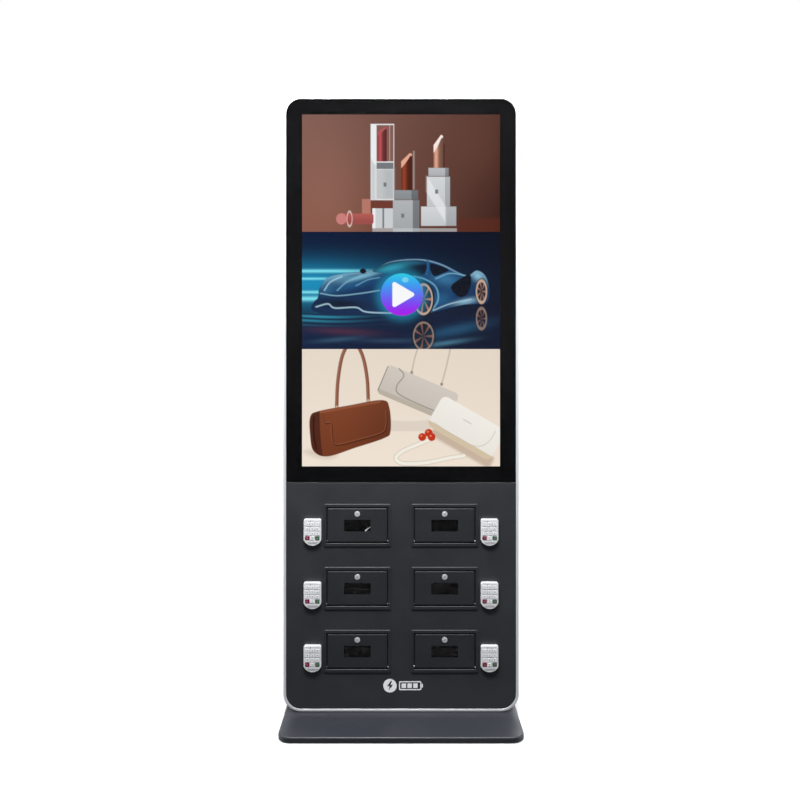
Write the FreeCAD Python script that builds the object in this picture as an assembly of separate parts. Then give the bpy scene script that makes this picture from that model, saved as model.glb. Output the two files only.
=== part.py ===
"""Phone charging kiosk: a floor-standing totem, a 43-inch portrait display over six small charging lockers.

Frame: millimetres, +Z up, +Y towards the back, +X to the right of a person facing the kiosk.
The origin is on the floor, under the middle of the base.

The totem is a deep sheet-steel housing closed at the front by a silver extruded frame. The frame holds a
sheet of glass above and a steel panel below. The panel carries two banks of three lockers. Each locker has a
drop-down door on a rod along its bottom edge, a cam lock as the mechanical override, and a keypad lock at its
outer side whose bolt slides through the locker wall into the door. Every door rests closed and unlocked: bolts
back, cams level.
"""
import FreeCAD, Part
import math
import os

V = FreeCAD.Vector
X, Y, Z = V(1, 0, 0), V(0, 1, 0), V(0, 0, 1)

# ---- overall ----
BASE_TOP = 16.0            # top of the base cover above the floor
FACE_W, FACE_H = 614.0, 1628.0   # dark front face inside the silver frame
FACE_R = 40.0              # its corner radius
TRIM_W = 8.0               # width of silver frame seen from the front
BODY_D = 190.0             # body depth
GAP = 0.3                  # assembly gap between fitted parts

BODY_W = FACE_W + 2 * TRIM_W
BODY_TOP = BASE_TOP + FACE_H + 2 * TRIM_W
BODY_R = FACE_R + TRIM_W
FRONT = -BODY_D / 2        # front of the silver lip
BACK = BODY_D / 2
FACE_Y = FRONT + 1.0       # glass and panel sit 1 mm behind the lip
FACE_Z0 = BASE_TOP + TRIM_W
FACE_Z1 = BODY_TOP - TRIM_W

# ---- front: glass, display, panel ----
GLASS_T = 4.0
JOINT_Z = 628.0            # where the glass ends and the steel panel begins
SCREEN_W, SCREEN_H = 529.4, 941.2   # 43-inch 16:9 active area, portrait
SCREEN_TOP = FACE_Z1 - 40.0
SCREEN_Z = SCREEN_TOP - SCREEN_H / 2
PANEL_T = 2.0
SEAT_Y = FACE_Y + GLASS_T  # plane that the glass and the panel's rim rest on
LEDGE_T = 3.0              # thickness of that seat
LCD_FRONT = SEAT_Y + 1.0
LCD_BORDER = 13.0
LCD_T = 14.0
LCD_LIP = 0.8
LCD_BACK = LCD_FRONT + LCD_T

# ---- rear housing ----
HOUSING_INSET = 3.5
SHEET = 1.5
TRIM_DEPTH = 38.0

# ---- base ----
BASE_W, BASE_D, BASE_R = 622.0, 466.0, 34.0
FOOT_H = 6.0
FOOT_X, FOOT_Y = 270.0, 195.0
BASE_BOLTS = [(sx * 240.0, y) for sx in (-1, 1) for y in (-25.0, 65.0)]

# ---- lockers ----
COLUMN_X = 116.5           # door centres, either side of the middle
ROW_Z = [513.0, 345.0, 177.0]
DOOR_UP = 1.5              # door and opening centre above the locker box's centre
OPEN_W, OPEN_H = 164.4, 95.5
FLANGE_W, FLANGE_H, FLANGE_T = 179.0, 114.5, 3.5
FLANGE_UP = 1.25           # surround's centre above the locker box's centre
BOX_W, BOX_H, BOX_WALL = 165.0, 99.0, 1.2
BOX_BACK = 71.2
DOOR_W, DOOR_H, DOOR_T, DOOR_FOLD = 161.4, 91.0, 1.2, 13.0
DOOR_EDGE_R = 3.0          # rounding of the door's front edges
DOOR_Y = FACE_Y - 2.0      # door face, 1.5 mm behind the front of its surround
PIVOT_Y = DOOR_Y + 3.0
PIVOT_UP = 3.0             # rod axis above the door's bottom edge
ROD_R, KNUCKLE_R = 1.5, 2.9
RUN_GAP = 0.05             # radial clearance of a running fit
WINDOW_W, WINDOW_H = 71.0, 31.5
WINDOW_DOWN = 1.0          # window centre below the door centre
LOCK_UP = 30.3             # cam lock above the door centre

# ---- keypad locks ----
KEYPAD_X = 235.5
KEYPAD_DOWN = 16.2         # keypad centre below the locker box's centre
KEYPAD_W, KEYPAD_H, KEYPAD_T = 46.5, 71.0, 11.0
KEYPAD_ARC_R = 25.2
KEY_W, KEY_H, KEY_PROUD = 11.4, 9.4, 1.2
KEY_PITCH_X, KEY_PITCH_Z = 13.4, 12.2
KEY_TOP_UP = 22.2          # top row of keys above the keypad centre
BOLT_Y, BOLT_T, BOLT_H = -88.0, 5.0, 7.0
BOLT_TRAVEL, BOLT_GRIP = 10.0, 4.5   # throw, and how far the thrown bolt enters the door
BOLT_L = 33.0

# ---- service door at the back ----
HATCH_W, HATCH_Z0, HATCH_Z1 = 450.0, 70.0, 590.0
HINGE_X, HINGE_Y = -227.0, 99.0
HINGE_Z = [170.0, 490.0]


# ---------------------------------------------------------------- helpers
def box(x0, x1, y0, y1, z0, z1):
    """A block between two corners."""
    return Part.makeBox(x1 - x0, y1 - y0, z1 - z0, V(x0, y0, z0))


def rod(r, start, direction, length):
    """A cylinder from start along direction."""
    return Part.makeCylinder(r, length, start, direction)


def edges_along(shape, axis, keep=lambda p: True):
    """Straight edges of shape that run along axis and whose middle passes keep."""
    found = []
    for e in shape.Edges:
        if len(e.Vertexes) != 2 or e.Curve.TypeId != "Part::GeomLine":
            continue
        d = (e.Vertexes[1].Point - e.Vertexes[0].Point).normalize()
        if abs(abs(d.dot(axis)) - 1) < 1e-6 and keep(e.CenterOfMass):
            found.append(e)
    return found


def rounded(x0, x1, y0, y1, z0, z1, r, axis=Y, keep=lambda p: True):
    """A block whose edges along axis are rounded to radius r."""
    b = box(x0, x1, y0, y1, z0, z1)
    return b.makeFillet(r, edges_along(b, axis, keep))


def soften(shape, r, keep):
    """Rounds every edge whose bounding box passes keep(box)."""
    return shape.makeFillet(r, [e for e in shape.Edges if keep(e.BoundBox)])


def on_plane_y(y):
    """Picks the edges that lie in the plane at y."""
    return lambda b: abs(b.YMin - y) < 1e-6 and abs(b.YMax - y) < 1e-6


def face_slab(inset, y0, y1):
    """The body's rounded outline, taken in by inset, from y0 to y1."""
    half = BODY_W / 2 - inset
    return rounded(-half, half, y0, y1, BASE_TOP + inset, BODY_TOP - inset, BODY_R - inset)


def compound(solids):
    """Separate solids that share one node."""
    return Part.makeCompound([s for shape in solids for s in shape.Solids])


def button_screw(r, length, head, direction):
    """A hex-socket button screw: head under side at head, shank along direction."""
    head_r, head_h, socket_r = 1.75 * r, 1.1 * r, 0.6 * r
    cap = rod(head_r, head, direction * -1, head_h)
    cap = cap.fuse(rod(r, head, direction, length))
    top = head + direction * -head_h
    hexagon = [V(socket_r * math.cos(a), socket_r * math.sin(a), 0) for a in
               [math.radians(60 * k) for k in range(7)]]
    socket = Part.Face(Part.makePolygon(hexagon)).extrude(V(0, 0, head_h * 1.2))
    turn = FreeCAD.Rotation(Z, direction)
    socket.Placement = FreeCAD.Placement(top - direction * (head_h * 0.6), turn)
    screw = cap.cut(socket)
    rim = [e for e in screw.Edges if e.Curve.TypeId == "Part::GeomCircle"
           and abs(e.Curve.Radius - head_r) < 1e-6 and (e.Curve.Center - top).Length < 1e-6]
    return screw.makeFillet(0.6 * head_h, rim)


# ---------------------------------------------------------------- base
def base_cover():
    """Folded steel cover of the base with a raised seat for the housing."""
    skirt_z = 3.0
    wall = 2.0
    w, d = BASE_W / 2, BASE_D / 2
    outer = rounded(-w, w, -d, d, skirt_z, BASE_TOP, BASE_R, Z)
    outer = soften(outer, 4.0, lambda b: abs(b.ZMin - BASE_TOP) < 1e-6 and abs(b.ZMax - BASE_TOP) < 1e-6)
    inner = rounded(-w + wall, w - wall, -d + wall, d - wall, skirt_z - 1, BASE_TOP - wall,
                    BASE_R - wall, Z)
    seat = rounded(-270, 270, -50, 85, BASE_TOP - wall, BASE_TOP + HOUSING_INSET, 12, Z)
    cover = outer.cut(inner).fuse(seat)
    for x, y in BASE_BOLTS:
        cover = cover.cut(rod(4.5, V(x, y, 0), Z, 40))
    return cover.removeSplitter()


def base_ballast():
    """Steel plate under the cover that keeps the kiosk upright."""
    clear = 4.0
    w, d = BASE_W / 2 - clear, BASE_D / 2 - clear
    plate = rounded(-w, w, -d, d, FOOT_H, BASE_TOP - 2.0, BASE_R - clear, Z)
    for x, y in BASE_BOLTS:
        plate = plate.cut(rod(4.5, V(x, y, 0), Z, 40))
        plate = plate.cut(rod(9.0, V(x, y, 0), Z, FOOT_H + 5.0))
    return plate


def base_feet():
    """Six rubber pads under the ballast plate."""
    pads = []
    for x in (-FOOT_X, 0.0, FOOT_X):
        for y in (-FOOT_Y, FOOT_Y):
            pad = rod(20.0, V(x, y, 0), Z, FOOT_H)
            pads.append(soften(pad, 1.0, lambda b: b.ZMax < 1e-6))
    return compound(pads)


# ---------------------------------------------------------------- body
def perimeter_frame():
    """Silver extruded frame: rounded lip round the face, seat behind the glass, wall over the housing."""
    def ring(inset_out, inset_in, y0, y1):
        return face_slab(inset_out, y0, y1).cut(face_slab(inset_in, y0 - 1, y1 + 1))

    seat_back = SEAT_Y + LEDGE_T
    lip = ring(0, TRIM_W, FRONT, seat_back)
    seat = ring(TRIM_W - 1, 18.0, SEAT_Y, seat_back)
    wall = ring(0, 3.0, FRONT + 4, FRONT + TRIM_DEPTH)
    frame = lip.fuse([seat, wall]).removeSplitter()
    outline = [e for e in frame.Edges if on_plane_y(FRONT)(e.BoundBox)]
    outer = [e for e in outline if is_on_inset(e.CenterOfMass, e, 0)]
    frame = frame.makeFillet(3.6, outer)
    inner = [e for e in frame.Edges
             if on_plane_y(FRONT)(e.BoundBox) and is_on_inset(e.CenterOfMass, e, TRIM_W)]
    return frame.makeFillet(0.8, inner)


def is_on_inset(point, edge, inset):
    """True if an outline edge lies on the body's outline taken in by inset."""
    if edge.Curve.TypeId == "Part::GeomCircle":
        return abs(edge.Curve.Radius - (BODY_R - inset)) < 1e-3
    half = BODY_W / 2 - inset
    return (abs(abs(point.x) - half) < 1e-3 or abs(point.z - BASE_TOP - inset) < 1e-3
            or abs(point.z - BODY_TOP + inset) < 1e-3)


def cover_glass():
    """Toughened glass over the display, rounded at its top corners."""
    half = FACE_W / 2 - GAP
    top = FACE_Z1 - GAP
    glass = rounded(-half, half, FACE_Y, SEAT_Y, JOINT_Z + 0.4, top, FACE_R - GAP,
                    keep=lambda p: p.z > top - 1)
    return soften(glass, 0.5, on_plane_y(FACE_Y))


def lower_front_panel():
    """Steel panel with a folded rim, openings for six lockers and six keypad locks."""
    half = FACE_W / 2 - GAP
    z0, z1 = FACE_Z0 + GAP, JOINT_Z - 0.4
    rim = 3.0

    def low(p):
        return p.z < z0 + 1

    slab = rounded(-half, half, FACE_Y, SEAT_Y, z0, z1, FACE_R - GAP, keep=low)
    slab = soften(slab, 0.8, on_plane_y(FACE_Y))
    pocket = rounded(-half + rim, half - rim, FACE_Y + PANEL_T, SEAT_Y + 1, z0 + rim, z1 - rim,
                     FACE_R - GAP - rim, keep=lambda p: p.z < z0 + rim + 1)
    panel = slab.cut(pocket)
    hole_w, hole_h = BOX_W + 2 * BOX_WALL + 0.6, BOX_H + 2 * BOX_WALL + 0.6
    for side in (-1, 1):
        for z in ROW_Z:
            x = side * COLUMN_X
            panel = panel.cut(box(x - hole_w / 2, x + hole_w / 2, FRONT, SEAT_Y + 1,
                                  z - hole_h / 2, z + hole_h / 2))
            kx, kz = side * KEYPAD_X, z - KEYPAD_DOWN
            panel = panel.cut(box(kx - 15, kx + 15, FRONT, SEAT_Y + 1, kz - 20, kz + 20))
    return panel


def rear_housing():
    """Deep steel pan: vents, fan grille, folded service opening, inlet cut-out, hinge knuckles."""
    front = SEAT_Y + LEDGE_T + GAP
    pan = face_slab(HOUSING_INSET, front, BACK)
    pan = soften(pan, 6.0, on_plane_y(BACK))
    inside = face_slab(HOUSING_INSET + SHEET, front - 1, BACK - SHEET)
    pan = pan.cut(soften(inside, 4.5, on_plane_y(BACK - SHEET)))
    half = HATCH_W / 2
    cuts = [box(-half, half, BACK - 20, BACK + 1, HATCH_Z0, HATCH_Z1)]
    cuts += [vent_slot(side * 150.0, 780.0 + 18.0 * k) for side in (-1, 1) for k in range(8)]
    cuts += [vent_slot(side * 190.0, 1410.0 + 18.0 * k) for side in (-1, 1) for k in range(8)]
    cuts += fan_grille_slots()
    cuts.append(box(INLET_X - 14, INLET_X + 14, BACK - 20, BACK + 1, INLET_Z - 29, INLET_Z + 29))
    cuts += [rod(2.6, V(x, BACK - 20, z), Y, 40) for x, z in housing_screw_places()]
    cuts += [rod(4.5, V(x, y, 0), Z, 40) for x, y in BASE_BOLTS]
    pan = pan.cut(Part.makeCompound(cuts))
    fold = box(-half - SHEET, half + SHEET, BACK - 15, BACK - SHEET, HATCH_Z0 - SHEET, HATCH_Z1 + SHEET)
    pan = pan.fuse(fold.cut(box(-half, half, BACK - 16, BACK, HATCH_Z0, HATCH_Z1)))
    for z in HINGE_Z:
        leaf = box(HINGE_X - 20, HINGE_X, BACK, BACK + 1.8, z - 30, z + 30)
        leaf = leaf.cut(box(HINGE_X - 5, HINGE_X + 1, BACK - 1, BACK + 3, z - 10.5, z + 10.5))
        ends = [rod(3.5, V(HINGE_X, HINGE_Y, z + a), Z, 19.5) for a in (-30, 10.5)]
        pin = rod(2.0, V(HINGE_X, HINGE_Y, z - 30), Z, 60)
        pan = pan.fuse([leaf, *ends, pin])
    return pan.removeSplitter()


def vent_slot(x, z):
    """A cutter for one round-ended vent slot, 90 by 6."""
    return rounded(x - 45, x + 45, BACK - 20, BACK + 1, z - 3, z + 3, 2.9)


def housing_screw_places():
    """Screws that hold the housing to the chassis posts."""
    return [(side * 294.0, z) for side in (-1, 1) for z in (80.0, 600.0, 1100.0, 1590.0)]


def chassis_frame():
    """Welded inner frame: tube posts, channel rails, foot brackets, straps, screw spacers, joint strip."""
    wall = 2.0
    y0 = SEAT_Y + 6.0
    post_x, post_w, post_d = 284.0, 20.0, 30.0
    z0, z1 = 44.0, 1632.0
    members = []
    for side in (-1, 1):
        x0, x1 = sorted((side * post_x, side * (post_x + post_w)))
        tube = box(x0, x1, y0, y0 + post_d, z0, z1)
        members.append(tube.cut(box(x0 + wall, x1 - wall, y0 + wall, y0 + post_d - wall, z0 - 1, z1 + 1)))
    for z, y, depth in ((z0, y0, 40.0), (596.0, y0, 40.0), (z1 - 20, LCD_BACK + 1, 30.0)):
        rail = box(-post_x, post_x, y, y + depth, z, z + 20)
        hollow = box(-post_x - 1, post_x + 1, y + wall, y + depth + 1, z + wall, z + 20 - wall)
        members.append(rail.cut(hollow))
    for z in (900.0, 1360.0):
        members.append(box(-post_x, post_x, LCD_BACK, LCD_BACK + 3, z - 20, z + 20))
    floor = BASE_TOP + HOUSING_INSET + SHEET
    for side in (-1, 1):
        x0, x1 = sorted((side * 215.0, side * 262.0))
        plate = box(x0, x1, -46, 80, floor, floor + 4)
        for bx, by in BASE_BOLTS:
            plate = plate.cut(rod(4.2, V(bx, by, 0), Z, 40))
        members += [plate, box(x0, x1, -47, -44, floor, z0 + 20)]
    for x, z in housing_screw_places():
        spacer = box(x - 9, x + 9, y0 + post_d, BACK - SHEET, z - 9, z + 9)
        members.append(spacer.cut(rod(2.2, V(x, BACK - 30, z), Y, 40)))
    strip_back = SEAT_Y + LEDGE_T
    members.append(box(-296, 296, SEAT_Y, strip_back, JOINT_Z - 10, JOINT_Z + 10))
    for x in (-230.0, 0.0, 230.0):
        members.append(box(x - 10, x + 10, strip_back, strip_back + 2, 600, JOINT_Z + 8))
        members.append(box(x - 10, x + 10, strip_back, y0, 600, 612))
    frame = members[0].fuse(members[1:])
    return frame.removeSplitter()


def fixing_screws():
    """Four screws through the base into the chassis, and eight that hold the housing."""
    screws = [button_screw(4.0, 18.0, V(x, y, FOOT_H + 5.0), Z) for x, y in BASE_BOLTS]
    screws += [button_screw(2.0, 14.0, V(x, BACK, z), Y * -1) for x, z in housing_screw_places()]
    return compound(screws)


# ---------------------------------------------------------------- display and electronics
def lcd_panel():
    """Glass cell of the display."""
    w, h = SCREEN_W / 2 + 6, SCREEN_H / 2 + 6
    y0 = LCD_FRONT + LCD_LIP
    return box(-w, w, y0, y0 + 2.0, SCREEN_Z - h, SCREEN_Z + h)


def lcd_housing():
    """Steel bezel and tray round the cell, with the backlight's depth behind it."""
    w, h = SCREEN_W / 2, SCREEN_H / 2
    out = LCD_BORDER
    tray = box(-w - out, w + out, LCD_FRONT, LCD_BACK, SCREEN_Z - h - out, SCREEN_Z + h + out)
    skin = 1.5
    y0 = LCD_FRONT + LCD_LIP
    room = box(-w - out + skin, w + out - skin, y0, LCD_BACK - skin,
               SCREEN_Z - h - out + skin, SCREEN_Z + h + out - skin)
    window = box(-w - 1, w + 1, LCD_FRONT - 1, y0 + 1, SCREEN_Z - h - 1, SCREEN_Z + h + 1)
    ribs = [box(x - 4, x + 4, y0 + 2.0, LCD_BACK - 1, SCREEN_Z - h - out, SCREEN_Z + h + out)
            for x in (-w - 5, w + 5)]
    return tray.cut(room).cut(window).fuse(ribs).removeSplitter()


def finned_case(x, z, w, h, depth, fins):
    """A thin-walled electronics case with cooling fins, open towards the display it is screwed to."""
    y0 = LCD_BACK
    case = rounded(x - w / 2, x + w / 2, y0, y0 + depth, z - h / 2, z + h / 2, 4)
    room = box(x - w / 2 + 3, x + w / 2 - 3, y0 - 1, y0 + depth - 7, z - h / 2 + 3, z + h / 2 - 3)
    case = case.cut(room)
    pitch = (w - 16) / fins
    start = x - w / 2 + 8
    grooves = [box(start + pitch * k, start + pitch * (k + 0.5), y0 + depth - 4, y0 + depth + 1,
                   z - h / 2 + 6, z + h / 2 - 6) for k in range(fins)]
    return case.cut(Part.makeCompound(grooves))


def media_player():
    """Player board in its case, with a row of sockets along the lower edge."""
    x, z, w, h, depth = -130.0, 1130.0, 170.0, 120.0, 28.0
    case = finned_case(x, z, w, h, depth, 12)
    y0 = LCD_BACK
    left, bottom = x - w / 2 + 14, z - h / 2
    sockets = [box(left + 30 * k, left + 16 + 30 * k, y0 + 6, y0 + 18, bottom - 1, bottom + 9)
               for k in range(5)]
    return case.cut(Part.makeCompound(sockets))


def power_supply():
    """Switched-mode supply in a vented case with a terminal block."""
    x, z, w, h, depth = 130.0, 1130.0, 110.0, 200.0, 45.0
    case = finned_case(x, z, w, h, depth, 8)
    y0 = LCD_BACK
    return case.fuse(box(x - 45, x + 45, y0, y0 + 22, z - h / 2 - 16, z - h / 2)).removeSplitter()


def speakers():
    """Two loudspeaker boxes with round cones, below the display."""
    units = []
    for side in (-1, 1):
        x, z = side * 180.0, 700.0
        y0 = LCD_BACK
        case = rounded(x - 60, x + 60, y0, y0 + 45, z - 30, z + 30, 6)
        cone = Part.makeCone(22, 8, 12, V(x, y0 + 45.01, z), Y * -1)
        units.append(case.cut(cone))
    return compound(units)


FAN_Z = 1480.0
FAN_SIZE = 92.0


def fan_grille_slots():
    """Cutters for the ring-shaped slots in front of the fan, left standing on four spokes."""
    slots = []
    spokes = Part.makeCompound([box(-60, 60, 0, 200, FAN_Z - 2, FAN_Z + 2),
                                box(-2, 2, 0, 200, FAN_Z - 60, FAN_Z + 60)])
    for r in (12.0, 21.0, 30.0, 39.0):
        start = V(0, BACK - 10, FAN_Z)
        ring = rod(r + 3, start, Y, 12).cut(rod(r - 3, start, Y, 12))
        slots.append(ring.cut(spokes))
    return slots


def fan_housing():
    """Square fan frame behind the grille, with a motor cup on four struts."""
    y0, y1 = BACK - SHEET - 25.0, BACK - SHEET
    half = FAN_SIZE / 2
    body = rounded(-half, half, y0, y1, FAN_Z - half, FAN_Z + half, 4)
    body = body.cut(rod(43.0, V(0, y0 - 1, FAN_Z), Y, 30))
    cup = rod(17.0, V(0, y0, FAN_Z), Y, 4)
    struts = [box(-45, 45, y0, y0 + 3, FAN_Z - 2, FAN_Z + 2), box(-2, 2, y0, y0 + 3, FAN_Z - 45, FAN_Z + 45)]
    axle = rod(2.0, V(0, y0, FAN_Z), Y, 20)
    corner = half - 6
    holes = [rod(2.2, V(sx * corner, y0 - 1, FAN_Z + sz * corner), Y, 30) for sx in (-1, 1) for sz in (-1, 1)]
    return body.fuse([cup, *struts, axle]).cut(Part.makeCompound(holes)).removeSplitter()


def fan_rotor():
    """Hub with seven pitched blades, running on the motor's axle."""
    y0 = BACK - SHEET - 20.0
    centre = V(0, y0, FAN_Z)
    hub = rod(17.0, centre, Y, 17)
    blade = box(12, 40, y0 + 7.2, y0 + 9.2, FAN_Z - 13, FAN_Z + 13)
    blade.rotate(V(0, y0 + 8.2, FAN_Z), X, 28)
    blades = []
    for k in range(7):
        turned = blade.copy()
        turned.rotate(centre, Y, 360.0 / 7 * k)
        blades.append(turned)
    limit = rod(41.0, centre, Y, 17)
    rotor = hub.fuse([b.common(limit) for b in blades])
    return rotor.cut(rod(2.0 + RUN_GAP, V(0, y0 - 1, FAN_Z), Y, 17)).removeSplitter()


INLET_X, INLET_Z = 266.0, 130.0
ROCKER_Z = INLET_Z + 19.0
ROCKER_Y = BACK - 3.0
ROCKER_TILT = 8.0


def power_inlet():
    """Mains inlet: flange, three-pin socket, fuse drawer and the opening for the rocker switch."""
    y_flange = BACK + 2.5
    flange = rounded(INLET_X - 17, INLET_X + 17, BACK, y_flange, INLET_Z - 33, INLET_Z + 33, 3)
    flange = soften(flange, 0.8, on_plane_y(y_flange))
    body = box(INLET_X - 13.5, INLET_X + 13.5, BACK - 32, BACK, INLET_Z - 28.5, INLET_Z + 28.5)
    unit = flange.fuse(body)
    socket_z = INLET_Z - 12.0
    socket = rounded(INLET_X - 11.8, INLET_X + 11.8, BACK - 16, BACK + 5, socket_z - 8.2, socket_z + 8.2, 4.5,
                     keep=lambda p: p.z > socket_z)
    unit = unit.cut(socket)
    unit = unit.cut(box(INLET_X - 7, INLET_X + 7, BACK - 22, BACK + 5, ROCKER_Z - 10.4, ROCKER_Z + 10.4))
    drawer = box(INLET_X - 11, INLET_X + 11, y_flange - 0.8, y_flange + 1, INLET_Z + 0.2, INLET_Z + 5.6)
    unit = unit.cut(drawer)
    pins = [box(INLET_X + dx - 1, INLET_X + dx + 1, BACK - 18, BACK - 2, socket_z + dz - 2, socket_z + dz + 2)
            for dx, dz in ((-7, -1), (0, 3), (7, -1))]
    pivot = rod(1.2, V(INLET_X - 8, ROCKER_Y, ROCKER_Z), X, 16)
    return unit.fuse([*pins, pivot]).removeSplitter()


def power_rocker():
    """Mains rocker on its pivot, resting with its upper end pressed."""
    outline = [(4.6, 0.0), (6.4, 8.2), (-5.0, 8.2), (-5.0, -8.2), (6.4, -8.2)]
    points = [V(INLET_X - 6.5, ROCKER_Y + a, ROCKER_Z + b) for a, b in outline]
    body = Part.Face(Part.makePolygon(points + points[:1])).extrude(X * 13)
    body = body.cut(rod(1.2 + RUN_GAP, V(INLET_X - 10, ROCKER_Y, ROCKER_Z), X, 20))
    body.rotate(V(INLET_X, ROCKER_Y, ROCKER_Z), X, ROCKER_TILT)
    return body


def charging_hub():
    """Charger board in its case between the two locker banks, with a socket for each charging lead."""
    half = COLUMN_X - BOX_W / 2 - BOX_WALL - 2.0
    hub = rounded(-half, half, -30, 60, 200, 490, 5, Z)
    hub = hub.cut(box(-half + 3, half - 3, -31, 57, 203, 487))
    sockets = []
    for side in (-1, 1):
        for k in range(9):
            z = 225.0 + 30.0 * k
            x0, x1 = sorted((side * (half - 7), side * (half + 1)))
            sockets.append(box(x0, x1, 40, 46, z - 7, z + 7))
    return hub.cut(Part.makeCompound(sockets))


# ---------------------------------------------------------------- lockers
def locker_box(side, z):
    """One sheet-steel locker: raised surround in front, walls, a lead grommet hole, slots for bolt and cam."""
    x = side * COLUMN_X
    w, h = BOX_W / 2, BOX_H / 2
    t = BOX_WALL
    front = FACE_Y - FLANGE_T
    zf = z + FLANGE_UP
    flange = rounded(x - FLANGE_W / 2, x + FLANGE_W / 2, front, FACE_Y,
                     zf - FLANGE_H / 2, zf + FLANGE_H / 2, 5)
    flange = soften(flange, 2.0, on_plane_y(front))
    shell = flange.fuse(box(x - w - t, x + w + t, FACE_Y, BOX_BACK, z - h - t, z + h + t))
    shell = shell.cut(box(x - w, x + w, FACE_Y, BOX_BACK - t, z - h, z + h))
    zd = z + DOOR_UP
    mouth = box(x - OPEN_W / 2, x + OPEN_W / 2, front - 1, FACE_Y, zd - OPEN_H / 2, zd + OPEN_H / 2)
    shell = shell.cut(mouth)
    lip = [e for e in shell.Edges if on_plane_y(front)(e.BoundBox) and e.Curve.TypeId == "Part::GeomLine"
           and abs(abs(e.CenterOfMass.x - x) - OPEN_W / 2) < 1e-3]
    lip += [e for e in shell.Edges if on_plane_y(front)(e.BoundBox) and e.Curve.TypeId == "Part::GeomLine"
            and abs(abs(e.CenterOfMass.z - zd) - OPEN_H / 2) < 1e-3]
    shell = shell.makeFillet(1.5, lip)
    rod_hole = rod(ROD_R + RUN_GAP, V(x - w - 5, PIVOT_Y, zd - DOOR_H / 2 + PIVOT_UP), X, 2 * w + 10)
    grommet = rod(8.0, V(x - side * 40, BOX_BACK - 5, z - 25), Y, 10)
    bolt_z = z - KEYPAD_DOWN
    bx0, bx1 = sorted((x + side * (w - 3), x + side * (w + 5)))
    bolt_slot = box(bx0, bx1, BOLT_Y - 3.4, BOLT_Y + 3.4, bolt_z - 4.4, bolt_z + 4.4)
    cam_top = zd + LOCK_UP + CAM_TIP
    cam_slot = box(x - 9, x + 21, CAM_Y - 1.5, CAM_Y + CAM_T + 1.5, z + h - 2, cam_top + 2)
    return shell.cut(Part.makeCompound([rod_hole, grommet, bolt_slot, cam_slot]))


def locker_bank(side):
    """Three locker boxes in a column and the two straps they are welded to."""
    boxes = [locker_box(side, z) for z in ROW_Z]
    x_in = side * (COLUMN_X - BOX_W / 2 - BOX_WALL)
    x_out = side * (COLUMN_X + BOX_W / 2 + BOX_WALL)
    straps = []
    for x, away in ((x_in, -side), (x_out, side)):
        x0, x1 = sorted((x, x + away * 2.0))
        straps.append(box(x0, x1, -60, -20, 64, 596))
    return compound([*boxes, *straps])


def door_hinge_rods():
    """Six hinge rods, one under each door, held in the locker walls."""
    rods = []
    for side in (-1, 1):
        for z in ROW_Z:
            length = BOX_W + 2 * BOX_WALL
            start = V(side * COLUMN_X - length / 2, PIVOT_Y, z + DOOR_UP - DOOR_H / 2 + PIVOT_UP)
            rods.append(rod(ROD_R, start, X, length))
    return compound(rods)


LOCK_FACE_R, LOCK_BARREL_R, PLUG_R = 7.3, 6.2, 4.4
CAM_Y, CAM_T, CAM_TIP = -80.4, 2.0, 21.0


def door(side, z):
    """Drop-down door: folded pan with a rolled knuckle, a window cut-out and its lock housing and nut."""
    x, zd = side * COLUMN_X, z + DOOR_UP
    w, h = DOOR_W / 2, DOOR_H / 2
    y0, y1 = DOOR_Y, DOOR_Y + DOOR_FOLD
    t = DOOR_T
    pan = rounded(x - w, x + w, y0, y1, zd - h, zd + h, DOOR_EDGE_R + 0.2)
    pan = soften(pan, DOOR_EDGE_R, on_plane_y(y0))
    inside = rounded(x - w + t, x + w - t, y0 + t, y1 + 1, zd - h + t, zd + h - t, DOOR_EDGE_R - t + 0.2)
    pan = pan.cut(soften(inside, DOOR_EDGE_R - t, on_plane_y(y0 + t)))
    pivot = V(x - w + DOOR_EDGE_R, PIVOT_Y, zd - h + PIVOT_UP)
    zw = zd - WINDOW_DOWN
    pan = pan.fuse(rod(KNUCKLE_R, pivot, X, DOOR_W - 2 * DOOR_EDGE_R))
    cuts = [rod(ROD_R + RUN_GAP, pivot - X * 10, X, DOOR_W + 20),
            rounded(x - WINDOW_W / 2, x + WINDOW_W / 2, y0 - 1, y0 + 5,
                    zw - WINDOW_H / 2, zw + WINDOW_H / 2, 2.5),
            rod(LOCK_BARREL_R + 0.1, V(x, y0 - 1, zd + LOCK_UP), Y, 8)]
    bx0, bx1 = sorted((x + side * (w - 4), x + side * (w + 4)))
    bolt_z = z - KEYPAD_DOWN
    cuts.append(box(bx0, bx1, BOLT_Y - 3.2, BOLT_Y + 3.2, bolt_z - 4.2, bolt_z + 4.2))
    pan = pan.cut(Part.makeCompound(cuts)).removeSplitter()
    return compound([pan, *lock_housing(x, zd + LOCK_UP)])


def lock_housing(x, z):
    """Fixed barrel of the cam lock with its face ring, and the nut behind the door."""
    face_t = 1.6
    ring = rod(LOCK_FACE_R, V(x, DOOR_Y - face_t, z), Y, face_t)
    ring = soften(ring, 0.7, lambda b: on_plane_y(DOOR_Y - face_t)(b) and b.XLength > 2 * PLUG_R)
    barrel = ring.fuse(rod(LOCK_BARREL_R, V(x, DOOR_Y, z), Y, CAM_Y - 0.8 - DOOR_Y))
    barrel = barrel.cut(rod(PLUG_R + RUN_GAP, V(x, DOOR_Y - 5, z), Y, 40))
    nut_y = DOOR_Y + DOOR_T
    nut_r = 9.0
    corners = [V(x + nut_r * math.cos(a), nut_y, z + nut_r * math.sin(a)) for a in
               [math.radians(60 * k) for k in range(7)]]
    nut = Part.Face(Part.makePolygon(corners)).extrude(Y * 3.5)
    return [barrel, nut.cut(rod(LOCK_BARREL_R + 0.05, V(x, nut_y - 1, z), Y, 6))]


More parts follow.
